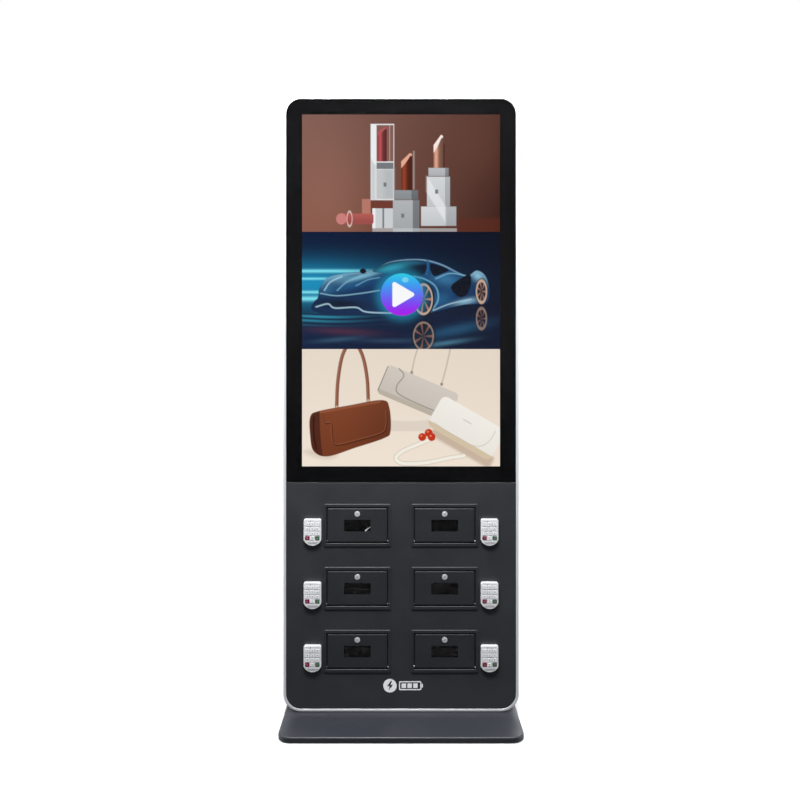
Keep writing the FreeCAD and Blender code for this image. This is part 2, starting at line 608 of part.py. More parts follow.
def door_window(side, z):
    """Clear acrylic behind the door's cut-out."""
    x, zw = side * COLUMN_X, z + DOOR_UP - WINDOW_DOWN
    y0 = DOOR_Y + DOOR_T
    w, h = WINDOW_W / 2 + 5, WINDOW_H / 2 + 4
    return rounded(x - w, x + w, y0, y0 + 2.0, zw - h, zw + h, 3)


def cam_lock(side, z):
    """Turning part of the cam lock: plug with a key slot, cam and its screw, pointing level when unlocked."""
    x, zc = side * COLUMN_X, z + DOOR_UP + LOCK_UP
    front = DOOR_Y - 1.9
    plug = rod(PLUG_R, V(x, front, zc), Y, CAM_Y - front)
    plug = soften(plug, 0.4, on_plane_y(front))
    slot = box(x - 0.7, x + 0.7, front - 1, front + 7, zc - 3.2, zc + 3.2)
    slot.rotate(V(x, front, zc), Y, 45)
    plug = plug.cut(slot)
    half = 5.0
    bar = box(x, x + CAM_TIP - half, CAM_Y, CAM_Y + CAM_T, zc - half, zc + half)
    tip = rod(half, V(x + CAM_TIP - half, CAM_Y, zc), Y, CAM_T)
    cam = bar.fuse([tip, rod(7.0, V(x, CAM_Y, zc), Y, CAM_T)])
    screw = rod(3.5, V(x, CAM_Y + CAM_T, zc), Y, 1.8)
    return plug.fuse([cam, screw]).removeSplitter()


def keypad_outline(y, grow=0.0):
    """Face of the keypad: square shoulders above, a round-arc chin below, grown by grow."""
    w = KEYPAD_W / 2 + grow
    top = KEYPAD_H / 2 + grow
    chin_r = KEYPAD_ARC_R + grow
    centre_z = -KEYPAD_H / 2 + KEYPAD_ARC_R
    side_z = centre_z - math.sqrt(chin_r ** 2 - w ** 2)
    corner = 5.0 + grow
    points = [V(-w, y, side_z), V(-w, y, top - corner), V(-w + corner, y, top), V(w - corner, y, top),
              V(w, y, top - corner), V(w, y, side_z)]
    k = corner * (1 - math.sqrt(0.5))
    edges = [Part.LineSegment(points[0], points[1]), Part.Arc(points[1], V(-w + k, y, top - k), points[2]),
             Part.LineSegment(points[2], points[3]), Part.Arc(points[3], V(w - k, y, top - k), points[4]),
             Part.LineSegment(points[4], points[5]),
             Part.Arc(points[5], V(0, y, centre_z - chin_r), points[0])]
    return Part.Face(Part.Wire([e.toShape() for e in edges]))


def key_places():
    """Centres of the twelve keys from the keypad's centre, row by row from the top."""
    return [(KEY_PITCH_X * c, KEY_TOP_UP - KEY_PITCH_Z * r) for r in range(4) for c in (-1, 0, 1)]


def keypad(side, z):
    """Keypad lock: front shell with twelve key openings, and the lock case behind the panel."""
    x, zc = side * KEYPAD_X, z - KEYPAD_DOWN
    wall = 2.0
    front = FACE_Y - KEYPAD_T
    shell = keypad_outline(front).extrude(Y * KEYPAD_T)
    shell = soften(shell, 1.8, on_plane_y(front))
    room = keypad_outline(front + wall, -wall).extrude(Y * KEYPAD_T)
    shell = shell.cut(room)
    half_w, half_h = KEY_W / 2 + GAP, KEY_H / 2 + GAP
    holes = [rounded(kx - half_w, kx + half_w, front - 1, front + 4, kz - half_h, kz + half_h, 1.5)
             for kx, kz in key_places()]
    shell = shell.cut(Part.makeCompound(holes))
    shell.translate(V(x, 0, zc))
    case_y = FACE_Y + PANEL_T
    case = rounded(x - 21, x + 21, case_y, -70, zc - 28, zc + 28, 3)
    case = case.fuse(box(x - 14.5, x + 14.5, FACE_Y, case_y, zc - 19.5, zc + 19.5))
    bx0, bx1 = sorted((x - side * 22, x + side * 8))
    channel = box(bx0, bx1, BOLT_Y - BOLT_T / 2 - GAP, BOLT_Y + BOLT_T / 2 + GAP,
                  zc - BOLT_H / 2 - GAP, zc + BOLT_H / 2 + GAP)
    return compound([shell, case.cut(channel).removeSplitter()])


def keypad_keys(side, z):
    """Moulded key mat: one sheet with twelve keys that stand through the shell."""
    x, zc = side * KEYPAD_X, z - KEYPAD_DOWN
    front = FACE_Y - KEYPAD_T
    mat_y = front + 2.0 + GAP
    mat_top = KEY_TOP_UP + KEY_H / 2 + 2
    mat_bottom = KEY_TOP_UP - 3 * KEY_PITCH_Z - KEY_H / 2 - 2
    half = KEY_PITCH_X + KEY_W / 2 + 1.2
    mat = rounded(-half, half, mat_y, mat_y + 1.2, mat_bottom, mat_top, 2)
    keys = []
    for kx, kz in key_places():
        key = rounded(kx - KEY_W / 2, kx + KEY_W / 2, front - KEY_PROUD, mat_y + 0.6,
                      kz - KEY_H / 2, kz + KEY_H / 2, 1.3)
        keys.append(soften(key, 0.5, on_plane_y(front - KEY_PROUD)))
    mat = mat.fuse(keys).removeSplitter()
    mat.translate(V(x, 0, zc))
    return mat


def lock_bolt(side, z):
    """Motor-driven bolt of the keypad lock, drawn back clear of the door."""
    zc = z - KEYPAD_DOWN
    tip = side * (COLUMN_X + DOOR_W / 2 - BOLT_GRIP + BOLT_TRAVEL)
    x0, x1 = sorted((tip, tip + side * BOLT_L))
    bolt = box(x0, x1, BOLT_Y - BOLT_T / 2, BOLT_Y + BOLT_T / 2, zc - BOLT_H / 2, zc + BOLT_H / 2)
    nose = edges_along(bolt, Z, lambda p: abs(p.x - tip) < 1e-6)
    return bolt.makeChamfer(1.0, nose)


# ---------------------------------------------------------------- service door
def rear_door():
    """Hinged service door in the back of the housing, with folded edges, vents and hinge knuckles."""
    half = HATCH_W / 2 - 1.0
    z0, z1 = HATCH_Z0 + 1.0, HATCH_Z1 - 1.0
    pan = box(-half, half, BACK - 10, BACK, z0, z1)
    pan = pan.cut(box(-half + SHEET, half - SHEET, BACK - 11, BACK - SHEET, z0 + SHEET, z1 - SHEET))
    cuts = [vent_slot(side * 90.0, 500.0 + 18.0 * k) for side in (-1, 1) for k in range(4)]
    cuts.append(rod(PLUG_R + RUN_GAP, V(REAR_LOCK_X, BACK - 20, REAR_LOCK_Z), Y, 40))
    pan = pan.cut(Part.makeCompound(cuts))
    for z in HINGE_Z:
        leaf = box(HINGE_X, HINGE_X + 24, BACK, BACK + 1.8, z - 9.5, z + 9.5)
        knuckle = rod(3.5, V(HINGE_X, HINGE_Y, z - 9.5), Z, 19)
        arm = box(HINGE_X, HINGE_X + 2.5, BACK + 0.6, HINGE_Y, z - 9.5, z + 9.5)
        hinge = leaf.fuse([knuckle, arm]).cut(rod(2.0 + RUN_GAP, V(HINGE_X, HINGE_Y, z - 15), Z, 30))
        hinge = hinge.cut(box(HINGE_X - 5, -half, BACK - 1, BACK + 0.5, z - 12, z + 12))
        pan = pan.fuse(hinge)
    return pan.removeSplitter()


REAR_LOCK_X, REAR_LOCK_Z = 204.0, 330.0


def rear_door_lock():
    """Cam lock of the service door, its cam hanging clear of the housing's edge when unlocked."""
    x, zc = REAR_LOCK_X, REAR_LOCK_Z
    cam_y = BACK - 16.0
    plug = rod(PLUG_R, V(x, cam_y, zc), Y, BACK + 3.0 - cam_y)
    face = rod(9.0, V(x, BACK + 0.2, zc), Y, 2.8)
    face = soften(face, 0.8, on_plane_y(BACK + 3.0))
    body = plug.fuse(face).cut(box(x - 0.7, x + 0.7, BACK - 4, BACK + 5, zc - 3.2, zc + 3.2))
    half = 6.0
    tip = 30.0
    bar = box(x - half, x + half, cam_y - 2, cam_y, zc - tip + half, zc)
    cam = bar.fuse([rod(half, V(x, cam_y - 2, zc - tip + half), Y, 2), rod(7.5, V(x, cam_y - 2, zc), Y, 2)])
    return body.fuse(cam).removeSplitter()


# ---------------------------------------------------------------- nodes
def parts():
    """Every node's name and shape."""
    nodes = {
        "base_cover": base_cover(),
        "base_ballast": base_ballast(),
        "base_feet": base_feet(),
        "perimeter_frame": perimeter_frame(),
        "rear_housing": rear_housing(),
        "chassis_frame": chassis_frame(),
        "fixing_screws": fixing_screws(),
        "cover_glass": cover_glass(),
        "lcd_panel": lcd_panel(),
        "lcd_housing": lcd_housing(),
        "lower_front_panel": lower_front_panel(),
        "media_player": media_player(),
        "power_supply": power_supply(),
        "speakers": speakers(),
        "fan_housing": fan_housing(),
        "fan_rotor": fan_rotor(),
        "power_inlet": power_inlet(),
        "power_rocker": power_rocker(),
        "charging_hub": charging_hub(),
        "locker_bank_left": locker_bank(-1),
        "locker_bank_right": locker_bank(1),
        "door_hinge_rods": door_hinge_rods(),
        "rear_door": rear_door(),
        "rear_door_lock": rear_door_lock(),
    }
    per_locker = {"door": door, "door_window": door_window, "cam_lock": cam_lock, "keypad": keypad,
                  "keypad_keys": keypad_keys, "lock_bolt": lock_bolt}
    number = 0
    for z in ROW_Z:
        for side in (-1, 1):
            number += 1
            for name, make in per_locker.items():
                nodes[f"{name}_{number}"] = make(side, z)
    return nodes


os.makedirs("parts", exist_ok=True)
for node, shape in parts().items():
    if not shape.isValid():
        print("not valid:", node)
    shape.exportStep(f"parts/{node}.step")
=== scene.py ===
import math

import bpy
import numpy as np
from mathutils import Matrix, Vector


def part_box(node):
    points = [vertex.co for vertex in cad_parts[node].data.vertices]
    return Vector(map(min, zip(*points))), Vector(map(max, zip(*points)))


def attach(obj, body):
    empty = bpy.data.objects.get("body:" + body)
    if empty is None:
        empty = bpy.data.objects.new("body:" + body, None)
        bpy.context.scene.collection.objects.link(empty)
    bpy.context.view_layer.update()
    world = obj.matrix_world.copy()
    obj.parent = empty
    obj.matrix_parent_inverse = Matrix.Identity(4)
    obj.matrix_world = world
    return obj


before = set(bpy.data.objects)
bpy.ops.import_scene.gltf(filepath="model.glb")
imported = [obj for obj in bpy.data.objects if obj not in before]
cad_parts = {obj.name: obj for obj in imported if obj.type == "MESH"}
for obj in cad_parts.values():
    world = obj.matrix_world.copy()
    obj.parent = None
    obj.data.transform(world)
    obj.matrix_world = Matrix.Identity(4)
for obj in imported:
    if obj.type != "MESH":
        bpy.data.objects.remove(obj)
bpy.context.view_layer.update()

MM = 0.001
LOCKERS = range(1, 7)


def corner(node, low=True):
    """Lowest or highest corner of a CAD node, as an array."""
    return np.array(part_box(node)[0 if low else 1])


GLASS_LO, GLASS_HI = corner("cover_glass"), corner("cover_glass", False)
CELL_LO, CELL_HI = corner("lcd_panel"), corner("lcd_panel", False)
PANEL_LO = corner("lower_front_panel")
DOOR_SHEET = 1.2 * MM
DOOR_FACE_Y = float(corner("door_window_1")[1]) - DOOR_SHEET
LOCK_PLUG_R = 7 * MM
LOCK_REACH = 9.4 * MM          # outside the lock's nut
SHEET_MARGIN = 0.02 * MM
CELL_BORDER = 6 * MM
GRAIN_DEEP = 0.05 * MM         # depth of the paint's orange peel
PRINT_T = 0.1 * MM             # thickness of printed marks
SCREEN_LO = CELL_LO + [CELL_BORDER, 0, CELL_BORDER]
SCREEN_HI = CELL_HI - [CELL_BORDER, 0, CELL_BORDER]


# ---------------------------------------------------------------- colours
def ink(r, g, b):
    """A display colour of 0 to 255 per channel as linear light."""
    c = np.array([r, g, b]) / 255.0
    return np.where(c <= 0.04045, c / 12.92, ((c + 0.055) / 1.055) ** 2.4)


def opaque(colour):
    return (*colour, 1.0)


# ---------------------------------------------------------------- mesh making
def place(name, mesh, body, material):
    """A new piece at the origin that rides on a body."""
    piece = bpy.data.objects.new(name, mesh)
    bpy.context.scene.collection.objects.link(piece)
    mesh.materials.append(material)
    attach(piece, body)
    return piece


def mesh_from(name, points, quads):
    """Mesh of numpy points and quads, set as whole arrays."""
    mesh = bpy.data.meshes.new(name)
    quads = np.asarray(quads, np.int32)
    mesh.vertices.add(len(points))
    mesh.vertices.foreach_set("co", np.asarray(points, np.float32).ravel())
    mesh.loops.add(quads.size)
    mesh.loops.foreach_set("vertex_index", quads.ravel())
    mesh.polygons.add(len(quads))
    mesh.polygons.foreach_set("loop_start", np.arange(len(quads), dtype=np.int32) * quads.shape[1])
    mesh.update(calc_edges=True)
    mesh.validate()
    return mesh


def grid_quads(rows, columns, close_rows=False, close_columns=False):
    """Corner numbers of the quads of a grid of points, joined end to start where asked."""
    r = np.arange(rows if close_rows else rows - 1)
    c = np.arange(columns if close_columns else columns - 1)
    r, c = (a.ravel() for a in np.meshgrid(r, c, indexing="ij"))
    r2, c2 = (r + 1) % rows, (c + 1) % columns
    return np.stack([r * columns + c, r2 * columns + c, r2 * columns + c2, r * columns + c2], 1)


def loop_of_corners(half_w, low, high, radii, steps=12):
    """Rounded rectangle in the X-Z plane, anticlockwise from the lower right.

    Each corner is a quarter circle of its own radius.
    """
    corners = [(half_w, low, -90), (half_w, high, 0), (-half_w, high, 90), (-half_w, low, 180)]
    turns = []
    for (x, z, start), r in zip(corners, radii):
        a = np.radians(np.linspace(start, start + 90, steps))
        middle_x, middle_z = x - np.sign(x) * r, z + (r if z == low else -r)
        turns.append(np.stack([middle_x + r * np.cos(a), middle_z + r * np.sin(a)], 1))
    return np.concatenate(turns)


def flat_plate(outlines, y_back, thickness, centre=(0.0, 0.0)):
    """Points and faces of a plate in the X-Z plane whose outlines may lie inside one another as holes."""
    curve = bpy.data.curves.new("plate", "CURVE")
    curve.dimensions = "2D"
    curve.fill_mode = "BOTH"
    curve.extrude = thickness / 2
    for outline in outlines:
        spline = curve.splines.new("POLY")
        spline.points.add(len(outline) - 1)
        flat = np.column_stack([outline, np.zeros(len(outline)), np.ones(len(outline))])
        spline.points.foreach_set("co", flat.astype(np.float32).ravel())
        spline.use_cyclic_u = True
    return standing(curve, y_back - thickness / 2, centre)


def letters(text, height, y, centre):
    """A label of generic digits as a thin plate in the X-Z plane, middled on centre."""
    font = bpy.data.curves.new("label", "FONT")
    font.body = text
    font.size = height * 1.4
    font.align_x = "CENTER"
    font.align_y = "CENTER"
    font.extrude = 0.04 * MM
    return standing(font, y, centre)


def standing(curve, y, centre):
    """Turns a flat curve or text into mesh arrays standing in the X-Z plane and facing -Y."""
    holder = bpy.data.objects.new("holder", curve)
    bpy.context.scene.collection.objects.link(holder)
    made = bpy.data.meshes.new_from_object(holder.evaluated_get(bpy.context.evaluated_depsgraph_get()))
    bpy.data.objects.remove(holder)
    co = np.zeros(len(made.vertices) * 3)
    made.vertices.foreach_get("co", co)
    x, z, out = co.reshape(-1, 3).T
    points = np.stack([x + centre[0], y - out, z + centre[1]], 1)
    faces = [list(p.vertices) for p in made.polygons]
    bpy.data.meshes.remove(made)
    return points, faces


def joined(name, parts):
    """One mesh from several lists of points and faces."""
    points, faces, start = [], [], 0
    for p, f in parts:
        points.append(p)
        faces += [[start + i for i in face] for face in f]
        start += len(p)
    mesh = bpy.data.meshes.new(name)
    mesh.from_pydata(np.concatenate(points).tolist(), [], faces)
    mesh.validate()
    return mesh


# ---------------------------------------------------------------- shader groups
def new_group(name, inputs, outputs):
    """A shader node group with named sockets; inputs are (name, kind, default)."""
    group = bpy.data.node_groups.new(name, "ShaderNodeTree")
    for label, kind, default in inputs:
        socket = group.interface.new_socket(label, in_out="INPUT", socket_type=f"NodeSocket{kind}")
        socket.default_value = default
    for label, kind in outputs:
        group.interface.new_socket(label, in_out="OUTPUT", socket_type=f"NodeSocket{kind}")
    return group, group.nodes.new("NodeGroupInput"), group.nodes.new("NodeGroupOutput")


def math_node(tree, operation, a, b=None, clamp=False):
    """A Math node fed with sockets or numbers; returns its output."""
    node = tree.nodes.new("ShaderNodeMath")
    node.operation = operation
    node.use_clamp = clamp
    for socket, value in zip(node.inputs, (a, b)):
        if isinstance(value, (int, float)):
            socket.default_value = value
        elif value is not None:
            tree.links.new(value, socket)
    return node.outputs[0]


def blend_colour(tree, share, a, b, mode="MIX"):
    """A colour Mix node: a where share is nothing, b where it is one."""
    node = tree.nodes.new("ShaderNodeMix")
    node.data_type = "RGBA"
    node.blend_type = mode
    for index, value in ((0, share), (6, a), (7, b)):
        if isinstance(value, (int, float)):
            node.inputs[index].default_value = value
        elif isinstance(value, tuple):
            node.inputs[index].default_value = value
        else:
            tree.links.new(value, node.inputs[index])
    return node.outputs[2]


def noise(tree, vector, scale, detail=2.0, rough=0.5):
    node = tree.nodes.new("ShaderNodeTexNoise")
    node.inputs["Scale"].default_value = scale
    node.inputs["Detail"].default_value = detail
    node.inputs["Roughness"].default_value = rough
    tree.links.new(vector, node.inputs["Vector"])
    return node.outputs["Fac"]


def remap(tree, value, from_min, from_max, to_min, to_max):
    node = tree.nodes.new("ShaderNodeMapRange")
    tree.links.new(value, node.inputs[0])
    for socket, number in zip(node.inputs[1:5], (from_min, from_max, to_min, to_max)):
        if isinstance(number, (int, float)):
            socket.default_value = number
        else:
            tree.links.new(number, socket)
    return node.outputs[0]


def object_point(tree):
    return tree.nodes.new("ShaderNodeTexCoord").outputs["Object"]


def parts_of(tree, vector):
    """The X, Y and Z of a vector."""
    xyz = tree.nodes.new("ShaderNodeSeparateXYZ")
    tree.links.new(vector, xyz.inputs[0])
    return xyz.outputs


def scaled(tree, vector, factor):
    node = tree.nodes.new("ShaderNodeVectorMath")
    node.operation = "SCALE"
    tree.links.new(vector, node.inputs[0])
    tree.links.new(factor, node.inputs["Scale"])
    return node.outputs[0]


def build_coat():
    """Powder coat: orange-peel grain, paler flecks, slow drift of tone and hand-smudged gloss."""
    group, gin, gout = new_group(
        "powder_coat",
        [("Colour", "Color", (0.1, 0.1, 0.1, 1)), ("Roughness", "Float", 0.5), ("Drift", "Float", 0.1)],
        [("Colour", "Color"), ("Roughness", "Float"), ("Height", "Float")])
    at = object_point(group)
    peel = noise(group, at, 900.0, 3.0, 0.6)
    fleck = noise(group, at, 2600.0, 1.0)
    slow = noise(group, at, 3.2, 3.0, 0.55)
    smudge = noise(group, at, 11.0, 4.0, 0.6)
    flecks = remap(group, fleck, 0.66, 0.8, 0.0, 0.25)
    pale = blend_colour(group, flecks, gin.outputs["Colour"], (0.35, 0.36, 0.38, 1))
    tone = remap(group, slow, 0.3, 0.7, math_node(group, "SUBTRACT", 1.0, gin.outputs["Drift"]),
                 math_node(group, "ADD", 1.0, gin.outputs["Drift"]))
    group.links.new(scaled(group, pale, tone), gout.inputs["Colour"])
    gloss = remap(group, smudge, 0.35, 0.7, -0.06, 0.08)
    group.links.new(math_node(group, "ADD", gin.outputs["Roughness"], gloss, True), gout.inputs["Roughness"])
    group.links.new(peel, gout.inputs["Height"])
    return group


def build_brush():
    """Brushed or drawn metal: fine lines along one axis that vary tone and roughness."""
    group, gin, gout = new_group(
        "drawn_metal",
        [("Colour", "Color", (0.6, 0.6, 0.6, 1)), ("Roughness", "Float", 0.3),
         ("Stretch", "Vector", (1, 1, 1)), ("Depth", "Float", 0.1)],
        [("Colour", "Color"), ("Roughness", "Float"), ("Height", "Float")])
    drawn = group.nodes.new("ShaderNodeVectorMath")
    drawn.operation = "MULTIPLY"
    group.links.new(object_point(group), drawn.inputs[0])
    group.links.new(gin.outputs["Stretch"], drawn.inputs[1])
    lines = noise(group, drawn.outputs[0], 1.0, 3.0, 0.6)
    swing = math_node(group, "MULTIPLY", math_node(group, "SUBTRACT", lines, 0.5), gin.outputs["Depth"])
    tone = math_node(group, "ADD", 1.0, swing)
    group.links.new(scaled(group, gin.outputs["Colour"], tone), gout.inputs["Colour"])
    group.links.new(math_node(group, "ADD", gin.outputs["Roughness"], swing, True), gout.inputs["Roughness"])
    group.links.new(lines, gout.inputs["Height"])
    return group


def build_lock_mask():
    """One within Reach of the nearest door lock's axis and outside the door's sheet.

    The sheet runs from Front to Back in Y. The distance is measured in X from plus or minus Column, and in
    Z from rows a pitch apart.
    """
    group, gin, gout = new_group(
        "near_lock",
        [("Column", "Float", 0.1), ("Row", "Float", 0.2), ("Pitch", "Float", 0.1), ("Reach", "Float", 0.01),
         ("Front", "Float", 0.0), ("Back", "Float", 0.0)],
        [("Share", "Float")])
    x, y, z = parts_of(group, object_point(group))
    across = math_node(group, "SUBTRACT", math_node(group, "ABSOLUTE", x), gin.outputs["Column"])
    half = math_node(group, "MULTIPLY", gin.outputs["Pitch"], 0.5)
    up = math_node(group, "ADD", math_node(group, "SUBTRACT", z, gin.outputs["Row"]), half)
    up = math_node(group, "SUBTRACT", math_node(group, "MODULO", up, gin.outputs["Pitch"]), half)
    reach = math_node(group, "SQRT", math_node(group, "ADD", math_node(group, "MULTIPLY", across, across),
                                               math_node(group, "MULTIPLY", up, up)))
    proud = math_node(group, "LESS_THAN", y, gin.outputs["Front"])
    behind = math_node(group, "GREATER_THAN", y, gin.outputs["Back"])
    clear_of_sheet = math_node(group, "MAXIMUM", proud, behind)
    near = math_node(group, "LESS_THAN", reach, gin.outputs["Reach"])
    group.links.new(math_node(group, "MULTIPLY", near, clear_of_sheet), gout.inputs["Share"])
    return group


COAT, BRUSH, LOCK_MASK = build_coat(), build_brush(), build_lock_mask()


# ---------------------------------------------------------------- materials
def new_material(name):
    material = bpy.data.materials.new(name)
    material.use_nodes = True
    return material, material.node_tree, material.node_tree.nodes["Principled BSDF"]


def add_group(tree, group, **values):
    node = tree.nodes.new("ShaderNodeGroup")
    node.node_tree = group
    for label, value in values.items():
        node.inputs[label].default_value = value
    return node


def add_bump(tree, shader, height, strength, distance):
    bump = tree.nodes.new("ShaderNodeBump")
    bump.inputs["Strength"].default_value = strength
    bump.inputs["Distance"].default_value = distance
    tree.links.new(height, bump.inputs["Height"])
    tree.links.new(bump.outputs[0], shader.inputs["Normal"])


def painted(name, colour, roughness, drift=0.08, grain=0.25, coat=0.0, shine=0.5):
    """Powder-coated or moulded surface."""
    material, tree, shader = new_material(name)
    node = add_group(tree, COAT, Colour=opaque(colour), Roughness=roughness, Drift=drift)
    tree.links.new(node.outputs["Colour"], shader.inputs["Base Color"])
    tree.links.new(node.outputs["Roughness"], shader.inputs["Roughness"])
    shader.inputs["Coat Weight"].default_value = coat
    shader.inputs["Coat Roughness"].default_value = 0.25
    shader.inputs["Specular IOR Level"].default_value = shine
    add_bump(tree, shader, node.outputs["Height"], grain, GRAIN_DEEP)
    return material


def metal(name, colour, roughness, stretch=(40, 40, 2500), depth=0.12, metallic=1.0):
    """Bare or anodised metal with drawn lines."""
    material, tree, shader = new_material(name)
    node = add_group(tree, BRUSH, Colour=opaque(colour), Roughness=roughness, Stretch=stretch, Depth=depth)
    tree.links.new(node.outputs["Colour"], shader.inputs["Base Color"])
    tree.links.new(node.outputs["Roughness"], shader.inputs["Roughness"])
    shader.inputs["Metallic"].default_value = metallic
    add_bump(tree, shader, node.outputs["Height"], 0.15, 0.02 * MM)
    return material


def clear(name, colour, roughness, ior=1.5):
    """Glass or acrylic, with finger marks that dull its gloss a little."""
    material, tree, shader = new_material(name)
    marks = noise(tree, object_point(tree), 9.0, 5.0, 0.65)
    tree.links.new(remap(tree, marks, 0.55, 0.8, roughness, roughness + 0.05), shader.inputs["Roughness"])
    shader.inputs["Base Color"].default_value = opaque(colour)
    shader.inputs["Transmission Weight"].default_value = 1.0
    shader.inputs["IOR"].default_value = ior
    return material


def door_material():
    """Door paint, with chromed metal on the lock's ring, barrel and nut."""
    material, tree, shader = new_material("door_paint_and_lock")
    paint = add_group(tree, COAT, Colour=opaque(CHARCOAL), Roughness=0.42, Drift=0.06)
    lo, hi = corner("cam_lock_6"), corner("cam_lock_6", False)
    near = add_group(tree, LOCK_MASK, Column=lo[0] + LOCK_PLUG_R, Row=(lo[2] + hi[2]) / 2,
                     Pitch=corner("cam_lock_4")[2] - lo[2], Reach=LOCK_REACH,
                     Front=DOOR_FACE_Y - SHEET_MARGIN, Back=DOOR_FACE_Y + DOOR_SHEET + SHEET_MARGIN)
    share = near.outputs["Share"]
    colour = blend_colour(tree, share, paint.outputs["Colour"], opaque(LOCK_METAL))
    tree.links.new(colour, shader.inputs["Base Color"])
    tree.links.new(remap(tree, share, 0.0, 1.0, 0.0, LOCK_METALLIC), shader.inputs["Metallic"])
    rough = tree.nodes.new("ShaderNodeMix")
    tree.links.new(share, rough.inputs[0])
    tree.links.new(paint.outputs["Roughness"], rough.inputs[2])
    rough.inputs[3].default_value = LOCK_ROUGHNESS
    tree.links.new(rough.outputs[0], shader.inputs["Roughness"])
    add_bump(tree, shader, paint.outputs["Height"], 0.25, GRAIN_DEEP)
    return material


def key_material():
    """Moulded keys, white but for the red and green keys at the ends of the bottom row."""
    material, tree, shader = new_material("key_mould")
    x, y, z = parts_of(tree, object_point(tree))
    middle = (corner("keypad_keys_6") + corner("keypad_keys_6", False)) / 2
    side = math_node(tree, "SIGN", x)
    across = math_node(tree, "SUBTRACT", x, math_node(tree, "MULTIPLY", side, float(middle[0])))
    pitch = float(corner("keypad_keys_4")[2] - corner("keypad_keys_6")[2])
    bottom = float(corner("keypad_keys_6")[2])
    up = math_node(tree, "MODULO", math_node(tree, "SUBTRACT", z, bottom), pitch)
    low_row = math_node(tree, "LESS_THAN", up, KEY_ROW_TOP)
    proud = math_node(tree, "LESS_THAN", y, KEY_SHELL_Y)
    low_row = math_node(tree, "MULTIPLY", low_row, proud)
    red = math_node(tree, "MULTIPLY", low_row, math_node(tree, "LESS_THAN", across, -KEY_SIDE_X))
    green = math_node(tree, "MULTIPLY", low_row, math_node(tree, "GREATER_THAN", across, KEY_SIDE_X))
    mould = add_group(tree, COAT, Colour=opaque(ink(226, 228, 230)), Roughness=0.38, Drift=0.02)
    colour = blend_colour(tree, red, mould.outputs["Colour"], opaque(ink(118, 16, 52)))
    colour = blend_colour(tree, green, colour, opaque(ink(62, 96, 70)))
    tree.links.new(colour, shader.inputs["Base Color"])
    tree.links.new(mould.outputs["Roughness"], shader.inputs["Roughness"])
    return material


def lit_picture(name):
    """Display picture: gives out the colour stored on its points."""
    material, tree, shader = new_material(name)
    stored = tree.nodes.new("ShaderNodeAttribute")
    stored.attribute_name = "picture"
    shader.inputs["Base Color"].default_value = (0.0, 0.0, 0.0, 1)
    tree.links.new(stored.outputs["Color"], shader.inputs["Emission Color"])
    shader.inputs["Emission Strength"].default_value = PICTURE_GLOW
    shader.inputs["Roughness"].default_value = 0.8
    shader.inputs["Specular IOR Level"].default_value = 0.0
    return material


CHARCOAL = ink(39, 41, 45)
LOCK_METAL, LOCK_METALLIC, LOCK_ROUGHNESS = ink(212, 214, 218), 0.35, 0.3
PICTURE_GLOW = 1.0
KEY_ROW_TOP = 12.2 * MM
KEY_SIDE_X = 6.7 * MM
KEY_SHELL_Y = float(corner("keypad_1")[1]) + 1.9 * MM

LOOKS = {
    "panel": painted("panel_paint", CHARCOAL, 0.5, 0.07, shine=0.65),
    "body": painted("body_paint", ink(42, 44, 48), 0.5, 0.06),
    # The base's paint is a lighter, bluer copy of the panel's charcoal: painted light standing in for the
    # light its upward-facing top catches.
    "base": painted("base_paint_lightened_as_painted_light", ink(43, 45, 52), 0.42, 0.08),
    "surround": painted("surround_paint", ink(39, 41, 45), 0.4, 0.05),
    "trim": metal("silver_anodised", ink(232, 234, 238), 0.3, (60, 60, 60), 0.06, 0.35),
    "zinc": metal("zinc_plate", ink(170, 173, 176), 0.42, (900, 900, 60), 0.2),
    "steel": metal("turned_steel", ink(190, 192, 196), 0.28, (1500, 1500, 200), 0.15),
    "chrome": metal("lock_nickel", LOCK_METAL, LOCK_ROUGHNESS, (300, 300, 300), 0.05, LOCK_METALLIC),
    "primer": painted("black_primer", ink(28, 28, 30), 0.7, 0.1),
    "rubber": painted("foot_rubber", ink(22, 22, 23), 0.85, 0.12, 0.5),
    "plastic": painted("black_moulding", ink(26, 27, 29), 0.5, 0.05, 0.3),
    "case": painted("grey_case", ink(120, 123, 128), 0.45, 0.05),
    "shell": painted("keypad_silver_paint", ink(222, 223, 226), 0.33, 0.02, 0.1, 0.3),
    "glass": clear("front_glass", (1.0, 1.0, 1.0), 0.0, 1.38),
    "acrylic": clear("smoked_acrylic", ink(96, 96, 98), 0.03, 1.49),
    "cell": painted("display_cell_black", ink(6, 6, 8), 0.7, 0.0, 0.0, shine=0.05),
    "door": door_material(),
    "keys": key_material(),
}

NODE_LOOKS = {
    "panel": ["lower_front_panel"],
    "body": ["rear_housing", "rear_door"],
    "base": ["base_cover"],
    "surround": ["locker_bank_left", "locker_bank_right"],
    "trim": ["perimeter_frame"],
    "zinc": ["chassis_frame", "lcd_housing"],
    "steel": ["fixing_screws", "door_hinge_rods", *[f"lock_bolt_{n}" for n in LOCKERS]],
    "chrome": ["rear_door_lock", *[f"cam_lock_{n}" for n in LOCKERS]],
    "primer": ["base_ballast"],
    "rubber": ["base_feet"],
    "plastic": ["speakers", "fan_housing", "fan_rotor", "power_inlet", "power_rocker", "charging_hub"],
    "case": ["media_player", "power_supply"],
    "shell": [f"keypad_{n}" for n in LOCKERS],
    "glass": ["cover_glass"],
    "acrylic": [f"door_window_{n}" for n in LOCKERS],
    "cell": ["lcd_panel"],
    "door": [f"door_{n}" for n in LOCKERS],
    "keys": [f"keypad_keys_{n}" for n in LOCKERS],
}

for look, names in NODE_LOOKS.items():
    for node_name in names:
        node_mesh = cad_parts[node_name].data
        node_mesh.materials.clear()
        node_mesh.materials.append(LOOKS[look])


